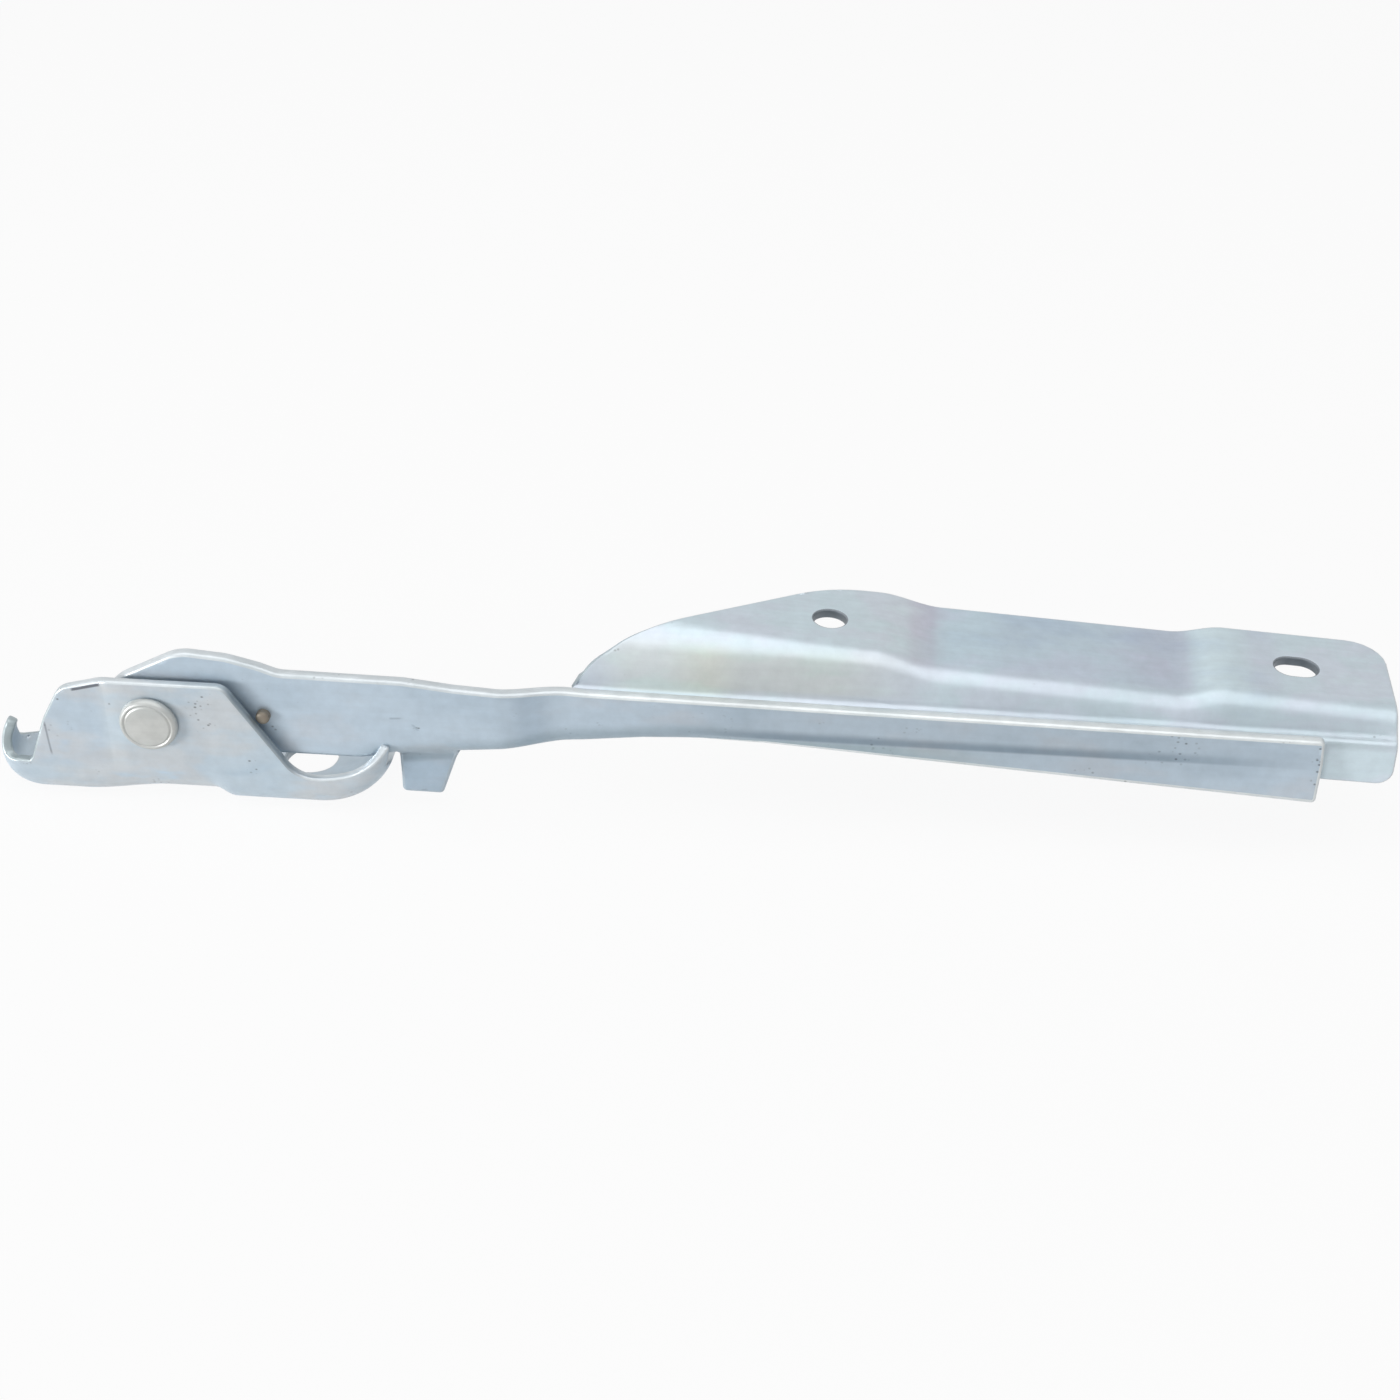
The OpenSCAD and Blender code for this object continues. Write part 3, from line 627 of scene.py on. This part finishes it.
def strip_frame(p):
    """Outer strip at p: its place in X and Z, and the direction that points out of it."""
    nose = np.clip((p - NOSE[0]) / NOSE_R, 0, None)
    hook = np.clip((HOOK_X - p) / HOOK_R, 0, math.pi / 2)
    lean = np.clip((HOOK_X - HOOK_TURN - p) / LEAN_R, 0, None)
    flat = np.clip(p, HOOK_X, NOSE[0])
    x = flat + NOSE_R * np.sin(nose) - HOOK_R * np.sin(hook) + LEAN_R * (1 - np.cos(lean))
    z = NOSE_R * (1 - np.cos(nose)) + HOOK_R * (1 - np.cos(hook)) + LEAN_R * np.sin(lean)
    mx = np.sin(nose) - np.sin(hook) + (1 - np.cos(lean))
    mz = np.where(p > NOSE[0], -np.cos(nose), np.where(lean > 0, np.sin(lean), -np.cos(hook)))
    return x, z, mx, mz


def bend_r(p):
    """Outer radius of the bend between strip and wall, wider below the pivot and tighter on the hook."""
    grown = smooth((p - WIDE_GROWS[0]) / WIDE_GROWS[1])
    wide = (WIDE_R - BEND_R) * grown * (1 - smooth((p - WIDE_ENDS[0]) / WIDE_ENDS[1]))
    return BEND_R + wide - (BEND_R - HOOK_BEND_R) * smooth((HOOK_X - p) / HOOK_EASE)


def wall_q(p):
    """Developed length from the rear line to the wall."""
    r = bend_r(p)
    return STRIP_Q - r + r * math.pi / 2


def strip_points(pq):
    """Developed strip and bend, laid into place."""
    p, q = pq[:, 0], pq[:, 1]
    x, z, mx, mz = strip_frame(p)
    r = bend_r(p)
    turn = np.clip((q - STRIP_Q + r) / r, 0, math.pi / 2)
    y = np.where(turn > 0, WALL_Y + r * (1 - np.sin(turn)), BASE_REAR - q)
    sink = r * (1 - np.cos(turn))
    return np.stack([x - mx * sink, y, z - mz * sink], axis=1)


def wall_points(xz):
    """The wall, with the faint fold left of the pivot."""
    x, z = xz[:, 0], xz[:, 1]
    fold = FOLD_DEPTH * smooth((FOLD_X - x) / FOLD_LENGTH) + FOLD_SLOPE * np.clip(SLOPE_X - x, 0, None)
    return np.stack([x, WALL_Y + fold * smooth((z - FOLD_Z) / FOLD_RISE), z], axis=1)


def nose_cut(turn):
    """Radius from the nose centre at which the wall's cut edge lies."""
    d = np.array((math.sin(turn), -math.cos(turn)))
    rel = np.array(NOSE) - np.array(CUT_CENTRE)
    b = float(d @ rel)
    return -b + math.sqrt(b * b - float(rel @ rel) + (CUT_R + EDGE) ** 2)


def joined(points, tris):
    """Points at the same place made one, and triangles that this closes left out."""
    keys = {}
    remap = np.zeros(len(points), int)
    kept = []
    for i, p in enumerate(np.round(points, MERGE_DIGITS)):
        key = tuple(p)
        if key not in keys:
            keys[key] = len(kept)
            kept.append(points[i])
        remap[i] = keys[key]
    tris = remap[tris]
    good = (tris[:, 0] != tris[:, 1]) & (tris[:, 1] != tris[:, 2]) & (tris[:, 2] != tris[:, 0])
    return np.array(kept), tris[good]


def make_bracket():
    """Wall and strip as two flat blanks that share the points of their seam, laid into place and joined."""
    start_p = HOOK_X - HOOK_R * math.radians(HOOK_END)
    turns = np.radians(np.arange(30, NOSE_TIP, 0.25))
    cross = next(a for a in turns if nose_cut(a) >= NOSE_R - BEND_R)
    cross_p = NOSE[0] + NOSE_R * cross
    on_hook = np.linspace(start_p, HOOK_X, 14)[:-1]
    on_base = np.arange(HOOK_X, NOSE[0], 1.0)
    on_nose = np.linspace(NOSE[0], cross_p, 22)
    seam_p = np.concatenate([on_hook, on_base, on_nose])
    sx, sz, smx, smz = strip_frame(seam_p)
    sr = bend_r(seam_p)
    seam = np.stack([sx - smx * sr, sz - smz * sr], axis=1)

    crown = [(-38.8, 14.1, 3), (-34.0, 27.5, 30), (-27.5, 39.4, 7), (-13, 43.4, 10)]
    crown += [(23.7, 43.4, 5), (40.6, 16.6, 0)]
    outline = [(-40.2, 12.5)] + rounded(crown, closed=False)[:-1] + arc(TOE, TOE_R, TOE_START, 270, 8)
    cut_turn = math.degrees(math.asin((seam[-1][0] - CUT_CENTRE[0]) / (CUT_R + EDGE)))
    outline += arc(CUT_CENTRE, CUT_R, 270, 270 + cut_turn - 2.5, 8)[1:]
    top = moved_in(spaced(outline[::-1], 1.6, closed=False), EDGE, closed=False)
    wall_loop = np.concatenate([seam, top])
    middle = grid(np.arange(-42, 66, 3.0), np.arange(5, 44, 3.0))
    inner = np.concatenate([middle, moved_in(wall_loop, RIM_ROW)])
    wall_flat, wall_tris = filled(wall_loop, [], inner, RIM_ROOM)

    front = STRIP_Q - BEND_R
    nose_q = []
    for a in np.linspace(math.degrees(cross) + 3, NOSE_TIP, 10):
        turn = math.radians(a)
        rise = math.asin((nose_cut(turn) - NOSE_R + BEND_R) / BEND_R)
        nose_q.append((NOSE[0] + NOSE_R * turn, front + BEND_R * (math.pi / 2 - rise)))
    edge = [(start_p, wall_q(start_p), 0), (start_p - 2, 37.6, 5), (-66, 36, 8), (-70, 36, 2.1)]
    edge += [(-68.8, 31.4, 2.1), (-57, 25.5, 5), (-47, 13, 6)]
    edge += [(-37, 13, 4), (-27.5, 0, 3), (41, 0, 3), (50.5, 8, 4), (76.9, 8, 2), (78.2, 16, 3)]
    edge += [(78.2, front + 4.3, 1), (NOSE[0] + NOSE_R * math.radians(NOSE_TIP), front + 4.4, 0)]
    path = spaced(rounded(edge, closed=False), 1.5, closed=False)
    path[1:] = moved_in(path, EDGE, closed=False)[1:]
    rest = spaced([tuple(path[-1])] + nose_q[::-1] + [(cross_p, wall_q(cross_p))], 1.5, closed=False)
    path = np.concatenate([path[:-1], rest])
    seam_q = np.stack([seam_p, wall_q(seam_p)], axis=1)
    strip_loop = np.concatenate([path[:-1], seam_q[::-1][:-1]])
    places = [(x, BASE_REAR) for x in BASE_HOLES]
    holes = [np.array(arc(at, BASE_HOLE_R + EDGE, 0, 360, 56)[:-1]) for at in places]
    around = [np.array(arc(at, BASE_HOLE_R + 1.2, 3, 363, 56)[:-1]) for at in places]
    lines = np.concatenate([np.arange(1.5, 25, 3.0), np.arange(25, 50, 1.15)])
    middle = grid(np.arange(-68, 88, 1.4), lines)
    inner = np.concatenate([middle, moved_in(strip_loop, RIM_ROW)] + around)
    strip_flat, strip_tris = filled(strip_loop, holes, inner, RIM_ROOM)

    points = np.concatenate([wall_points(wall_flat), strip_points(strip_flat)])
    tris = np.concatenate([wall_tris, strip_tris + len(wall_flat)])
    points, tris = joined(points, tris)
    return shell("bracket_shell", points, tris, BRACKET_T, EDGE, [zinc_bracket, cut_edge])


# Hinge arm: a blank in X and Z, stepped towards the rear, with a rolled lower edge and a flared lip

ARM_EDGE = 1.0
CREASE_Z = 30.0
CREASE_SOFT = 1.2
LIP_START = 180.0
LIP_OUT = 4.0

# Step to the rear, roll of the lower edge and offset of the tab: how deep each is, where it grows and ends
# along X, as start and length, and over what height
STEP_DEPTH = 5.0
STEP_AT = (104, 22)
ROLL_DEPTH = 1.5
ROLL_GROWS = (64, 10)
ROLL_ENDS = (160, 25)
ROLL_ABOVE = 3.6
ROLL_HEIGHT = 4.2
TAB_DEPTH = 1.1
TAB_GROWS = (70, 2)
TAB_ENDS = (94, 2)
TAB_HEIGHT = 0.9

# Slope of the left side of the hump in degrees, and its crest
HUMP_TILT = 27.4
CREST_X = 9.5


def arm_low(x):
    """Lower edge of the arm without its tab."""
    places = (4, 36, 62, 74, 92, 104, 120, 130, 148, 166, 185, ARM_LEN)
    heights = (-14.9, -12.2, -12.2, -10.6, -8.9, -7.8, -6.7, -5.9, -3.8, -2.8, -2.2, -10.1)
    return PIVOT_Z + np.interp(x, places, heights)


def stretch(x, grows, ends):
    """Eased from 0 to 1 and back, each change given as start and length."""
    return smooth((x - grows[0]) / grows[1]) * (1 - smooth((x - ends[0]) / ends[1]))


def arm_points(xz):
    """Flat blank of the arm, laid into place."""
    x, z = xz[:, 0], xz[:, 1]
    y = ARM_Y + STEP_DEPTH * smooth((x - STEP_AT[0]) / STEP_AT[1])
    rolled = stretch(x, ROLL_GROWS, ROLL_ENDS)
    y = y + ROLL_DEPTH * rolled * smooth((arm_low(x) + ROLL_ABOVE - z) / ROLL_HEIGHT)
    tab = stretch(x, TAB_GROWS, TAB_ENDS)
    y = y + TAB_DEPTH * tab * smooth((arm_low(x) - z) / TAB_HEIGHT)
    share = np.clip((x - LIP_START) / (ARM_LEN - LIP_START), 0, 1)
    deep = CREASE_Z - z
    fall = np.maximum(CREASE_Z - arm_low(x), 0.5)
    soft = 0.5 * (deep + np.sqrt(deep * deep + CREASE_SOFT))
    y = y - LIP_OUT * share * soft / fall
    return np.stack([x, y, z], axis=1)


def make_arm():
    """Blank of the arm from its lower edge, its upper edge and the round of its eye."""
    tilt = math.radians(HUMP_TILT)
    crest = EYE_R / math.cos(tilt) + CREST_X * math.tan(tilt)
    low = [(36, -12.2, 0), (62, -12.2, 12), (74, -10.6, 0.6), (74.1, -20, 0), (74.0, -25.8, 1.6)]
    low += [(86.6, -25.9, 1.6), (92.6, -8.9, 0.8), (104, -7.8, 0), (120, -6.7, 20), (130, -5.9, 0)]
    low += [(148, -3.8, 20), (166, -2.8, 12), (185, -2.2, 20), (ARM_LEN - 1.2, -10.1, 1.5), (ARM_LEN, 1, 0)]
    high = [(ARM_LEN - 0.4, 8.9, 1.5), (130, 11.9, 0), (92, 14.2, 20), (77, 15.9, 0), (39.5, 16.4, 8)]
    high += [(33.5, 18.6, 10), (24, 21.1, 16), (CREST_X, crest, 14)]
    eye = arc((0, 0), EYE_R, 90 + HUMP_TILT, 284, 40)
    corners = [(eye[-1][0], eye[-1][1], 0)] + low + high + [(eye[0][0], eye[0][1], 0)]
    loop = rounded(corners) + eye[1:-1]
    loop = np.array([(a, b + PIVOT_Z) for a, b in loop])
    loop = moved_in(spaced(loop, 1.8), ARM_EDGE)
    middle = grid(np.arange(-15, 349, 2.2), np.arange(3.5, 53, 1.5))
    inner = np.concatenate([middle, moved_in(loop, RIM_ROW)])
    verts, tris = filled(loop, [], inner, 0.6)
    return shell("arm_shell", arm_points(verts), tris, ARM_T, ARM_EDGE, [zinc_arm, arm_edge])


# Bonnet plate: a developed blank in X and length from the flange bend, folded into wall, ledge, riser and
# flange

PLATE_EDGE = 0.5
TILT = math.tan(math.radians(3.55))

# Heights above the pivot, and how far they fall along X; the valley between the pads, with its two slopes as
# start and length; the ledge; the radii of the folds
PAD_RISE = 28.6
VALLEY_DEPTH = 3.2
VALLEY_LEFT = (216.5, 19)
VALLEY_RIGHT = (305.5, 16)
LEDGE_RISE = 9.9
LEDGE_FALL = 3.0
LEDGE_START = 130
LEDGE_W = 3
LEDGE_TILT = 0.5
LOW_RISE = 0.3
LOW_FALL = 7.8
LEDGE_R = 1.6
RISER_R = 1.4
FOLD_R = 8
FOLD_R_MORE = 9
FOLD_R_EASE = 80
FOLD_STEPS = 16

# How far the section goes on below the wall and along the flange, so that the blank always lies on it
SPARE_LOW = 12
SPARE_FLANGE = 60

# Height of the left end's top, how far the right end stands out, and how far from a hole's edge its rim is
# looked for
LEFT_TOP = 40
END_OUT = 0.9
HOLE_RIM = 3


def pad_z(x):
    """Height of the bolt pads."""
    return PIVOT_Z + PAD_RISE - (x - PLATE_START) * TILT


def valley(x):
    """Share of the drop between the two bolt pads."""
    left = smooth((x - VALLEY_LEFT[0]) / VALLEY_LEFT[1])
    return left - smooth((x - VALLEY_RIGHT[0]) / VALLEY_RIGHT[1])


def fold_r(x):
    """Outer radius of the flange fold, larger towards the left end."""
    return FOLD_R + FOLD_R_MORE * (1 - smooth((x - LEDGE_START) / FOLD_R_EASE))


def plate_path(x):
    """Folded section at each x: its corners, the radius of each fold, and the height of its lower edge."""
    ledge = PIVOT_Z + LEDGE_RISE - LEDGE_FALL * (x - LEDGE_START) / (ARM_LEN - LEDGE_START)
    low = PIVOT_Z + LOW_RISE - LOW_FALL * (x - PLATE_START) / (PLATE_END - PLATE_START)
    flange = pad_z(x) - VALLEY_DEPTH * valley(x)
    ys = (WEB_BACK, WEB_BACK, WEB_BACK + LEDGE_W, FLANGE_Y, FLANGE_Y + SPARE_FLANGE)
    zs = (low - SPARE_LOW, ledge, ledge + LEDGE_TILT, flange, flange)
    corners = [np.stack([np.full_like(x, y), z], axis=1) for y, z in zip(ys, zs)]
    return corners, (LEDGE_R, RISER_R, fold_r(x)), low


def plate_points(xs):
    """Blank points [x, s], with s along the flange from the corner of its fold, laid into place."""
    x, s = xs[:, 0], xs[:, 1]
    corners, radii, _ = plate_path(x)
    path = [corners[0]]
    for k, r in enumerate(radii):
        a, b, c = corners[k], corners[k + 1], corners[k + 2]
        u = (a - b) / np.linalg.norm(a - b, axis=1)[:, None]
        v = (c - b) / np.linalg.norm(c - b, axis=1)[:, None]
        half = np.arccos(np.clip((u * v).sum(axis=1), -1, 1)) / 2
        m = (u + v) / np.linalg.norm(u + v, axis=1)[:, None]
        centre = b + m * (r / np.sin(half))[:, None]
        start = b + u * (r / np.tan(half))[:, None] - centre
        end = b + v * (r / np.tan(half))[:, None] - centre
        turn = math.pi - 2 * half
        for i in range(FOLD_STEPS + 1):
            w = i / FOLD_STEPS
            near = np.sin((1 - w) * turn) / np.sin(turn)
            far = np.sin(w * turn) / np.sin(turn)
            path.append(centre + near[:, None] * start + far[:, None] * end)
    fold_end = len(path) - 1
    fold_reach = radii[-1] / np.tan(half)
    path.append(corners[-1])
    path = np.stack(path, axis=1)
    length = np.linalg.norm(np.diff(path, axis=1), axis=2)
    run = np.concatenate([np.zeros((len(x), 1)), np.cumsum(length, axis=1)], axis=1)
    run += (fold_reach - run[:, fold_end])[:, None]
    k = np.clip((run <= s[:, None]).sum(axis=1) - 1, 0, path.shape[1] - 2)
    row = np.arange(len(x))
    share = (s - run[row, k]) / np.maximum(run[row, k + 1] - run[row, k], NO_TURN)
    at = path[row, k] + share[:, None] * (path[row, k + 1] - path[row, k])
    return np.stack([x, at[:, 0], at[:, 1]], axis=1)


def blank_s(x, z):
    """Developed length at which the front of the section at x is at height z, on the wall or the riser."""
    s = np.linspace(-60, 0, 1201)
    heights = plate_points(np.stack([np.full_like(s, x), s], axis=1))[:, 2]
    return float(s[np.argmin(np.abs(heights - z))])


def make_plate():
    """Blank of the bonnet plate, with a round hole and a slot."""
    low = []
    for x in np.linspace(PLATE_START + 2, PLATE_END, 24):
        height = plate_path(np.array([x]))[2][0]
        low.append((x, blank_s(x, float(height)), 0))
    right = PLATE_END + END_OUT
    loop = [(PLATE_START + 2, low[0][1], 2)] + low[1:-1] + [(right, low[-1][1], 5)]
    loop += [(right, FLANGE_W, 11.5), (201, FLANGE_W, 40), (156.2, 9.5, 60), (142.2, 1.3, 40)]
    loop += [(132.2, -6.7, 25), (PLATE_START, blank_s(PLATE_START, LEFT_TOP), 2)]
    loop = moved_in(spaced(rounded(loop), 1.8), PLATE_EDGE)
    r = BONNET_HOLE_R + PLATE_EDGE
    middle = FLANGE_W / 2
    round_x, slot_x = BONNET_HOLES
    round_hole = arc((round_x, middle), r, 0, 360, 44)[:-1]
    slot = arc((slot_x + SLOT_HALF, middle), r, -90, 90, 22)
    slot += arc((slot_x - SLOT_HALF, middle), r, 90, 270, 22)
    lines = np.concatenate([np.arange(-50, -12, 1.5), np.arange(-12, 6, 0.9), np.arange(6, 38, 2.2)])
    runs = ((126, 212, 2.4), (212, 236, 1.2), (236, 306, 2.4), (306, 321, 0.8), (321, 370, 2.4))
    columns = np.concatenate([np.arange(*run) for run in runs])
    near = np.array(arc((round_x, middle), r + RIM_ROW, 4, 364, 44)[:-1])
    inner = np.concatenate([grid(columns, lines), moved_in(loop, RIM_ROW), near])
    verts, tris = filled(loop, [np.array(round_hole), np.array(slot)], inner, RIM_ROOM)

    def edge_kind(rim):
        """Edge of a bonnet hole, or of the sheet."""
        near_hole = np.zeros(len(rim), bool)
        for x in BONNET_HOLES:
            near_hole |= np.hypot(rim[:, 0] - x, rim[:, 1] - FLANGE_Y - middle) < r + HOLE_RIM
        return np.where(near_hole, 2, 1).astype(np.int32)

    # The third material paints shade on the walls of the bonnet holes
    mats = [zinc_plate, cut_edge, hole_wall_shade]
    return shell("plate_shell", plate_points(verts), tris, PLATE_T, PLATE_EDGE, mats, edge_kind)


bracket_shell = make_bracket()
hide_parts("body_bracket")
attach(bracket_shell, "bracket")

arm_shell = make_arm()
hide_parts("hinge_arm")
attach(arm_shell, "arm")

plate_shell = make_plate()
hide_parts("hood_plate")
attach(plate_shell, "arm")

# Turned pieces; each profile starts at its front
PIVOT = (0, PIVOT_Z)
WASHER_Y = -15.2
BUSH_Y = -20.9
PLUG_R = 2.5
HEAD = [(0, 2.85), (6.4, 2.85), (6.75, 2.8), (6.95, 2.5), (7.2, 2.48), (7.4, 2.75), (7.75, 2.8), (8.15, 2.6)]
HEAD += [(8.5, 2.2), (8.75, 1.7), (8.9, 1.1), (8.9, 0.6), (8.7, 0.35), (8.3, 0.25), (8.2, 0.02)]
SHANK = [(5.0, 0.0), (5.0, -10.6), (7.5, -10.62), (7.8, -10.9), (7.8, -12.0), (7.4, -12.8)]
SHANK += [(6.6, -13.35), (5.0, -13.6), (0, -13.6)]
rivet = lathe("pivot_rivet_turned", HEAD + SHANK, WALL_Y, [PIVOT], rivet_metal)
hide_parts("pivot_rivet")
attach(rivet, "bracket")

WASHER = [(5.0, 0), (5.15, 0.2), (10.1, 0.2), (10.35, 0.1), (10.5, -0.15), (10.5, -1.5)]
WASHER += [(10.3, -1.75), (10.0, -1.8), (5.0, -1.8)]
washer = lathe("tail_washer_turned", WASHER, WASHER_Y, [PIVOT], zinc_bracket)
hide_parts("tail_washer")
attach(washer, "bracket")

BUSH = [(5.05, 0), (5.2, 0.0), (10.6, 0), (10.9, -0.15), (11.0, -0.4), (11.0, -1.35)]
BUSH += [(6.55, -1.4), (6.55, -5.4), (5.05, -5.4)]
bush = lathe("pivot_bush_turned", BUSH, BUSH_Y, [PIVOT], bush_metal)
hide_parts("pivot_bush")
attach(bush, "arm")

pin_low, pin_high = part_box("stop_pin")
pin_at = ((pin_low.x + pin_high.x) / 2 / MM, (pin_low.z + pin_high.z) / 2 / MM)
PIN = [(0, 2.6), (1.1, 2.55), (1.7, 2.35), (2.05, 1.95), (2.15, 1.5), (2.15, -4.0), (1.8, -4.25), (0, -4.3)]
pin = lathe("stop_pin_turned", PIN, ARM_Y, [pin_at], pin_metal, steps=48)
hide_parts("stop_pin")
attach(pin, "arm")

plug_low, plug_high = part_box("weld_plugs")
plug_z = (plug_low.z + plug_high.z) / 2 / MM
plug_x = np.linspace(plug_low.x / MM + PLUG_R, plug_high.x / MM - PLUG_R, 3)
plugs = [(x, plug_z) for x in plug_x]
BEAD = [(0, 2.9), (PLUG_R, 2.9), (PLUG_R, 0.0), (3.0, -0.05), (2.9, -0.3), (2.3, -0.65)]
BEAD += [(1.5, -0.85), (0.7, -0.8), (0, -0.7)]
beads = lathe("weld_plug_beads", BEAD, WEB_BACK + PLATE_T, plugs, weld_metal, steps=40)
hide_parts("weld_plugs")
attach(beads, "arm")


# Stage, light and camera

SOFT_LIGHT = 0.24
SKY = [(0.0, (0.40, 0.41, 0.43)), (0.3, (0.66, 0.67, 0.69)), (1.0, (1, 1, 1))]
SEEN_RAYS = ("Is Camera Ray", "Is Glossy Ray", "Is Transmission Ray")

# Share of plain white in the floor where it is seen; the rest shows the light and the shadow on it
FLOOR_WHITE = 0.92
FLOOR_HALF = 6.0
FLOOR_Z = -0.0004
FLOOR_SIDES = ((-1, -1), (1, -1), (1, 1), (-1, 1))
PAPER = [(0.0, (0.90, 0.90, 0.90)), (1.0, (0.93, 0.93, 0.93))]

# Where the lamps point, and the camera that was fitted to the photograph
PIVOT_AIM = (0.03, 0, 0.03)
MIDDLE_AIM = (0.15, 0, 0.03)
CAMERA_AT = (0.22183, -0.60016, 0.43885)
CAMERA_AIM = (0.16404, 0, 0.03216)
LENS = 61.714
SENSOR = 36


def area(name, place, target, size, power):
    """Rectangular lamp at a place, turned to a target."""
    lamp = bpy.data.lights.new(name, "AREA")
    lamp.shape = "RECTANGLE"
    lamp.size, lamp.size_y = size
    lamp.energy = power
    obj = bpy.data.objects.new(name, lamp)
    obj.location = place
    obj.rotation_euler = (Vector(target) - Vector(place)).to_track_quat("-Z", "Y").to_euler()
    bpy.context.scene.collection.objects.link(obj)


def light_path(tree, names):
    """1 for the named kinds of rays."""
    path = node(tree, "ShaderNodeLightPath")
    total = path.outputs[names[0]]
    for n in names[1:]:
        total = maths(tree, "MAXIMUM", total, path.outputs[n])
    return total


scene = bpy.context.scene
scene.view_settings.view_transform = "Standard"

world = bpy.data.worlds.new("studio")
scene.world = world
world.use_nodes = True
tree = world.node_tree
tree.nodes.clear()
world_out = node(tree, "ShaderNodeOutputWorld")
white = node(tree, "ShaderNodeBackground")
white.inputs["Color"].default_value = (1, 1, 1, 1)
white.inputs["Strength"].default_value = 1
soft = node(tree, "ShaderNodeBackground")
height = node(tree, "ShaderNodeSeparateXYZ")
link(tree, node(tree, "ShaderNodeTexCoord").outputs["Generated"], height.inputs[0])
sky = ramp(tree, ranged(tree, height.outputs["Z"], -0.2, 1, 0, 1), SKY)
link(tree, sky, soft.inputs["Color"])
soft.inputs["Strength"].default_value = SOFT_LIGHT
mix = node(tree, "ShaderNodeMixShader")
link(tree, light_path(tree, SEEN_RAYS), mix.inputs["Fac"])
link(tree, soft.outputs[0], mix.inputs[1])
link(tree, white.outputs[0], mix.inputs[2])
link(tree, mix.outputs[0], world_out.inputs["Surface"])

floor_mesh = bpy.data.meshes.new("floor")
floor_mesh.from_pydata([(FLOOR_HALF * a, FLOOR_HALF * b, 0) for a, b in FLOOR_SIDES], [], [(0, 1, 2, 3)])
floor = bpy.data.objects.new("floor", floor_mesh)
floor.location = (0, 0, FLOOR_Z)
scene.collection.objects.link(floor)
floor_mat = bpy.data.materials.new("pale_floor")
floor_mat.use_nodes = True
tree = floor_mat.node_tree
tree.nodes.clear()
floor_out = node(tree, "ShaderNodeOutputMaterial")
matte = node(tree, "ShaderNodeBsdfDiffuse")
paper = noise(tree, node(tree, "ShaderNodeTexCoord").outputs["Object"], 3, 2)
link(tree, ramp(tree, paper, PAPER), matte.inputs["Color"])
glow = node(tree, "ShaderNodeEmission")
glow.inputs["Strength"].default_value = 1
mix = node(tree, "ShaderNodeMixShader")
seen = light_path(tree, SEEN_RAYS)
link(tree, maths(tree, "MULTIPLY", seen, FLOOR_WHITE), mix.inputs["Fac"])
link(tree, matte.outputs[0], mix.inputs[1])
link(tree, glow.outputs[0], mix.inputs[2])
link(tree, mix.outputs[0], floor_out.inputs["Surface"])
floor_mesh.materials.append(floor_mat)

area("side", place=(-1.1, -0.75, 0.14), target=PIVOT_AIM, size=(0.4, 0.24), power=12.5)
area("key", place=(-0.3, -1.1, 0.7), target=MIDDLE_AIM, size=(1.4, 1.0), power=0.6)
area("top", place=(0.1, -0.1, 1.1), target=MIDDLE_AIM, size=(1.7, 1.15), power=7.6)

camera_data = bpy.data.cameras.new("camera")
camera_data.lens = LENS
camera_data.sensor_width = SENSOR
camera = bpy.data.objects.new("camera", camera_data)
camera.location = CAMERA_AT
aim = Vector(CAMERA_AIM) - camera.location
camera.rotation_euler = aim.to_track_quat("-Z", "Y").to_euler()
scene.collection.objects.link(camera)
scene.camera = camera
